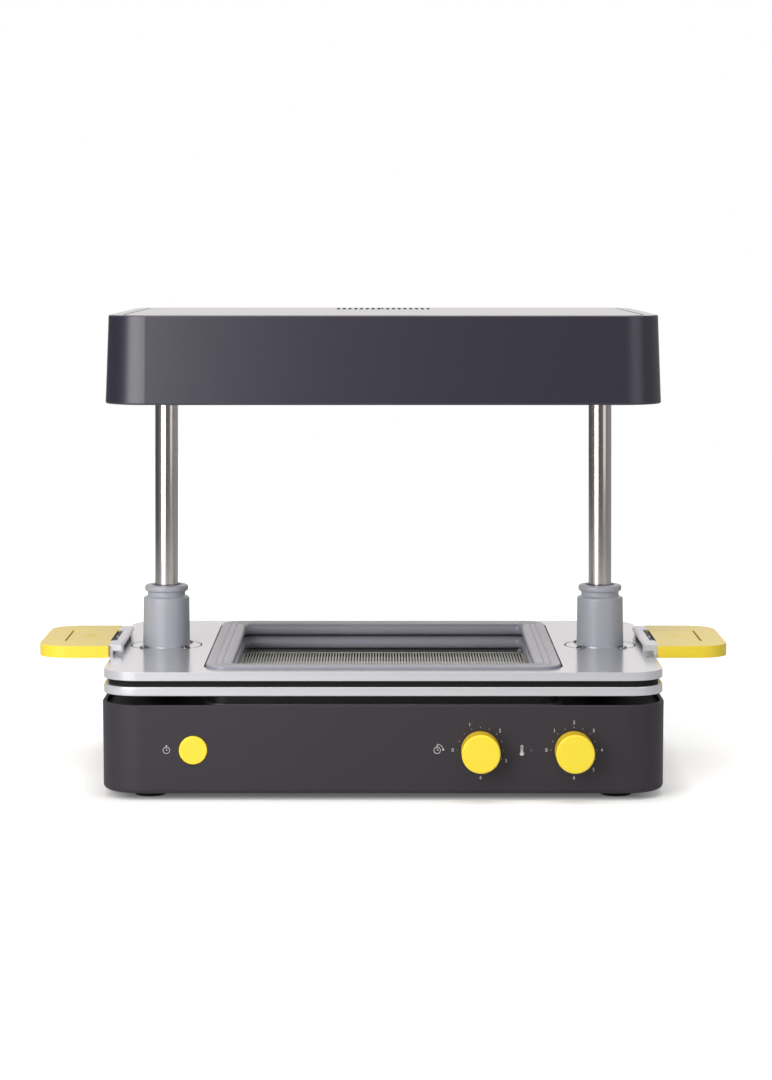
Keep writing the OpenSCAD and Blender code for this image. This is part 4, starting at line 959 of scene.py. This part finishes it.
def clockMarks(x, z, arrow):
    radius = dialSizes["clockRadius"] * mm
    line = dialSizes["clockLine"] * mm
    marks = [flatMark(circlePoints(x, z, radius), [circlePoints(x, z, radius - line)])]
    marks.append(flatMark(barPoints(x, z - 0.1 * mm, x, z + radius * 0.62, line * 0.8)))
    marks.append(flatMark(barPoints(x, z, x + radius * 0.45, z, line * 0.8)))
    crown = z + radius + 0.7 * mm
    marks.append(flatMark(barPoints(x, z + radius, x, crown, line * 1.2)))
    marks.append(flatMark(barPoints(x - 0.6 * mm, crown, x + 0.6 * mm, crown, line)))
    if arrow:
        reach = radius + dialSizes["arrowOut"] * mm
        marks.append(flatMark(arcPoints(x, z, reach, 92, 12, 16) + arcPoints(x, z, reach - line, 12, 92, 16)))
        tip = x + reach - line / 2
        wide = dialSizes["arrowHead"] * mm
        marks.append(flatMark([(tip, z - 0.5 * mm), (tip + wide, z + wide), (tip - wide, z + wide)]))
    return marks


def thermometerMarks(x, z):
    bulb = circlePoints(x, z - 2.2 * mm, 1.35 * mm)
    stem = [(x - 0.8 * mm, z - 1.6 * mm), (x + 0.8 * mm, z - 1.6 * mm)]
    stem += arcPoints(x, z + 2.6 * mm, 0.8 * mm, 0, 180, 10)
    bore = [(x - 0.32 * mm, z), (x + 0.32 * mm, z)] + arcPoints(x, z + 2.5 * mm, 0.32 * mm, 0, 180, 8)
    return [flatMark(bulb), flatMark(stem, [bore])]


def ringSpot(centreX, centreZ, radius, angle):
    turn = math.radians(angle)
    return centreX + radius * math.cos(turn), centreZ + radius * math.sin(turn)


def makePrint():
    timer, heater, start = middle("timer_knob"), middle("heater_knob"), middle("start_button")
    marks = []
    for node, words in dialDigits.items():
        knob = middle(node)
        for step in range(dialSizes["dots"]):
            spot = ringSpot(knob.x, knob.z, dialSizes["dotRing"] * mm, 180 - step * dialSizes["dotStep"])
            marks.append(flatMark(circlePoints(*spot, dialSizes["dotRadius"] * mm, 12)))
        for word, angle in words.items():
            marks.append(digitMesh(word, *ringSpot(knob.x, knob.z, dialSizes["digitRing"] * mm, angle)))
    marks += clockMarks(start.x - dialSizes["startMark"] * mm, start.z, False)
    marks += clockMarks(timer.x - dialSizes["timerMark"] * mm, timer.z, True)
    marks += thermometerMarks(heater.x - dialSizes["heaterMark"] * mm, heater.z)
    form = bmesh.new()
    for mesh in marks:
        form.from_mesh(mesh)
        bpy.data.meshes.remove(mesh)
    for vertex in form.verts:
        vertex.co.y = faceY(vertex.co.x, vertex.co.z) - dialSizes["thick"] * mm
    mesh = bpy.data.meshes.new("dialPrint")
    form.to_mesh(mesh)
    form.free()
    thing = addPiece("dialPrint", mesh, printLook)
    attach(thing, "base")
    return thing


makePrint()
print("marks printed")


# Studio

studio = {
    "lens": 94.4, "distance": 1.970, "height": 0.3578, "shiftX": 0.0025, "shiftY": -0.2685,
    "floor": 0.76, "floorFront": 1.3, "floorBack": 3.0, "floorSide": 1.4, "world": 0.16,
    "shadeX": 0.165, "shadeY": 0.105, "shadeEdge": 0.045, "cardLow": 0.15, "cardHigh": 0.45, "above": 0.92,
}
cards = [  # place round the horizon, 0.5 behind the object and 0 and 1 in front, and brightness
    (0.0, 0.15), (1.0, 0.15), (0.06, 0.15), (0.15, 0.3), (0.19, 0.24), (0.24, 0.12), (0.42, 0.12), (0.46, 1.0),
    (0.54, 1.0), (0.58, 0.3), (0.66, 0.4), (0.75, 0.36), (0.86, 0.25), (0.95, 0.17),
]
lamps = {  # place, aim, width, height, watts, colour
    "keyLamp": ((-0.6, -0.85, 0.48), (-0.05, 0, 0.28), 0.75, 0.92, 9.4, (1.0, 0.985, 0.975)),
    "fillLamp": ((0.74, -0.66, 0.62), (0.15, 0, 0.2), 0.55, 1.15, 1.9, (0.97, 0.98, 1.0)),
    "topLamp": ((0, -0.45, 1.6), (0, 0, 0.15), 1.3, 1.1, 10.6, (1.0, 0.97, 0.93)),
    "backLamp": ((0.45, 1.2, 1.3), (0, 0, 0.12), 1.0, 0.8, 3.5, (1.0, 0.99, 0.98)),
}
postY = middle("post_left").y


def makeCamera():
    data = bpy.data.cameras.new("view")
    data.sensor_fit = "AUTO"
    data.sensor_width = 36
    data.lens = studio["lens"]
    data.shift_x = studio["shiftX"]
    data.shift_y = studio["shiftY"]
    data.clip_end = 60
    camera = bpy.data.objects.new("view", data)
    scene.collection.objects.link(camera)
    camera.location = (0, postY - studio["distance"], studio["height"])
    camera.rotation_euler = (math.radians(90), 0, 0)
    scene.camera = camera


def addLamp(name, spot, aim, wide, deep, power, colour):
    data = bpy.data.lights.new(name, "AREA")
    data.shape = "RECTANGLE"
    data.size = wide
    data.size_y = deep
    data.energy = power
    data.color = colour
    lamp = bpy.data.objects.new(name, data)
    scene.collection.objects.link(lamp)
    lamp.visible_camera = False
    lamp.location = spot
    lamp.rotation_euler = (Vector(aim) - Vector(spot)).to_track_quat("-Z", "Y").to_euler()
    return lamp


def makeWorld():  # white to the eye, with cards near the horizon for the gloss
    world = bpy.data.worlds.new("studio")
    scene.world = world
    world.use_nodes = True
    sky = Weave(world.node_tree, "Generated")
    turn = sky.node("ShaderNodeMath", {"operation": "ARCTAN2"}, {0: sky.axis("x"), 1: sky.axis("y")})[0]
    around = turn * (0.5 / math.pi) + 0.5
    ramp = sky.node("ShaderNodeValToRGB", {"stops": [(spot, (level, level * 0.96, level * 0.96, 1))
                                                     for spot, level in cards]}, {"Fac": around})[0]
    raised = sky.axis("z").between(studio["cardLow"], studio["cardHigh"])
    bright = studio["above"]
    mirrored = sky.blend(raised, ramp, (bright, bright, bright, 1))
    level = studio["world"]
    soft = sky.blend(sky.ray("Is Glossy Ray"), (level, level, level, 1), mirrored)
    seen = (sky.ray("Is Camera Ray") + sky.ray("Is Transmission Ray")).clip()
    colour = sky.blend(seen, soft, (1, 1, 1, 1))
    background = world.node_tree.nodes["Background"]
    sky.feed(background.inputs["Color"], colour)


def makeFloor():
    look = Look("studioFloor", {"Roughness": 0.9, "Specular IOR Level": 0.1, "Emission Strength": 1.0})
    seen = (look.ray("Is Camera Ray") + look.ray("Is Transmission Ray")).clip()
    outX = (look.axis("x").unsigned() - studio["shadeX"]).between(0, 1)
    outY = (look.axis("y").unsigned() - studio["shadeY"]).between(0, 1)
    out = (outX * outX + outY * outY).root()
    # painted shade on the floor: camera rays see it glow, least inside and round the base's footprint and rising
    # to white far off; reflections see a faint glow
    white = out.between(0, studio["shadeEdge"]) * 0.5 + out.between(0, 1) * 0.4 + 0.1
    glow = look.blend((seen * white + look.ray("Is Glossy Ray") * 0.1).clip(), (0, 0, 0, 1), (1, 1, 1, 1))
    level = studio["floor"]
    look.paint(colour=(level, level, level, 1), glow=glow)
    side = studio["floorSide"]
    mesh = bpy.data.meshes.new("studioFloor")
    front = -studio["floorFront"]
    back = studio["floorBack"]
    corners = [(-side, front, 0), (side, front, 0), (side, back, 0), (-side, back, 0)]
    mesh.from_pydata(corners, [], [(0, 1, 2, 3)])
    floor = addPiece("studioFloor", mesh, look.material)
    floor.location.z = -0.0002


makeCamera()
makeWorld()
makeFloor()
for name, sizes in lamps.items():
    addLamp(name, *sizes)
scene.view_settings.view_transform = "Standard"
print("studio ready")
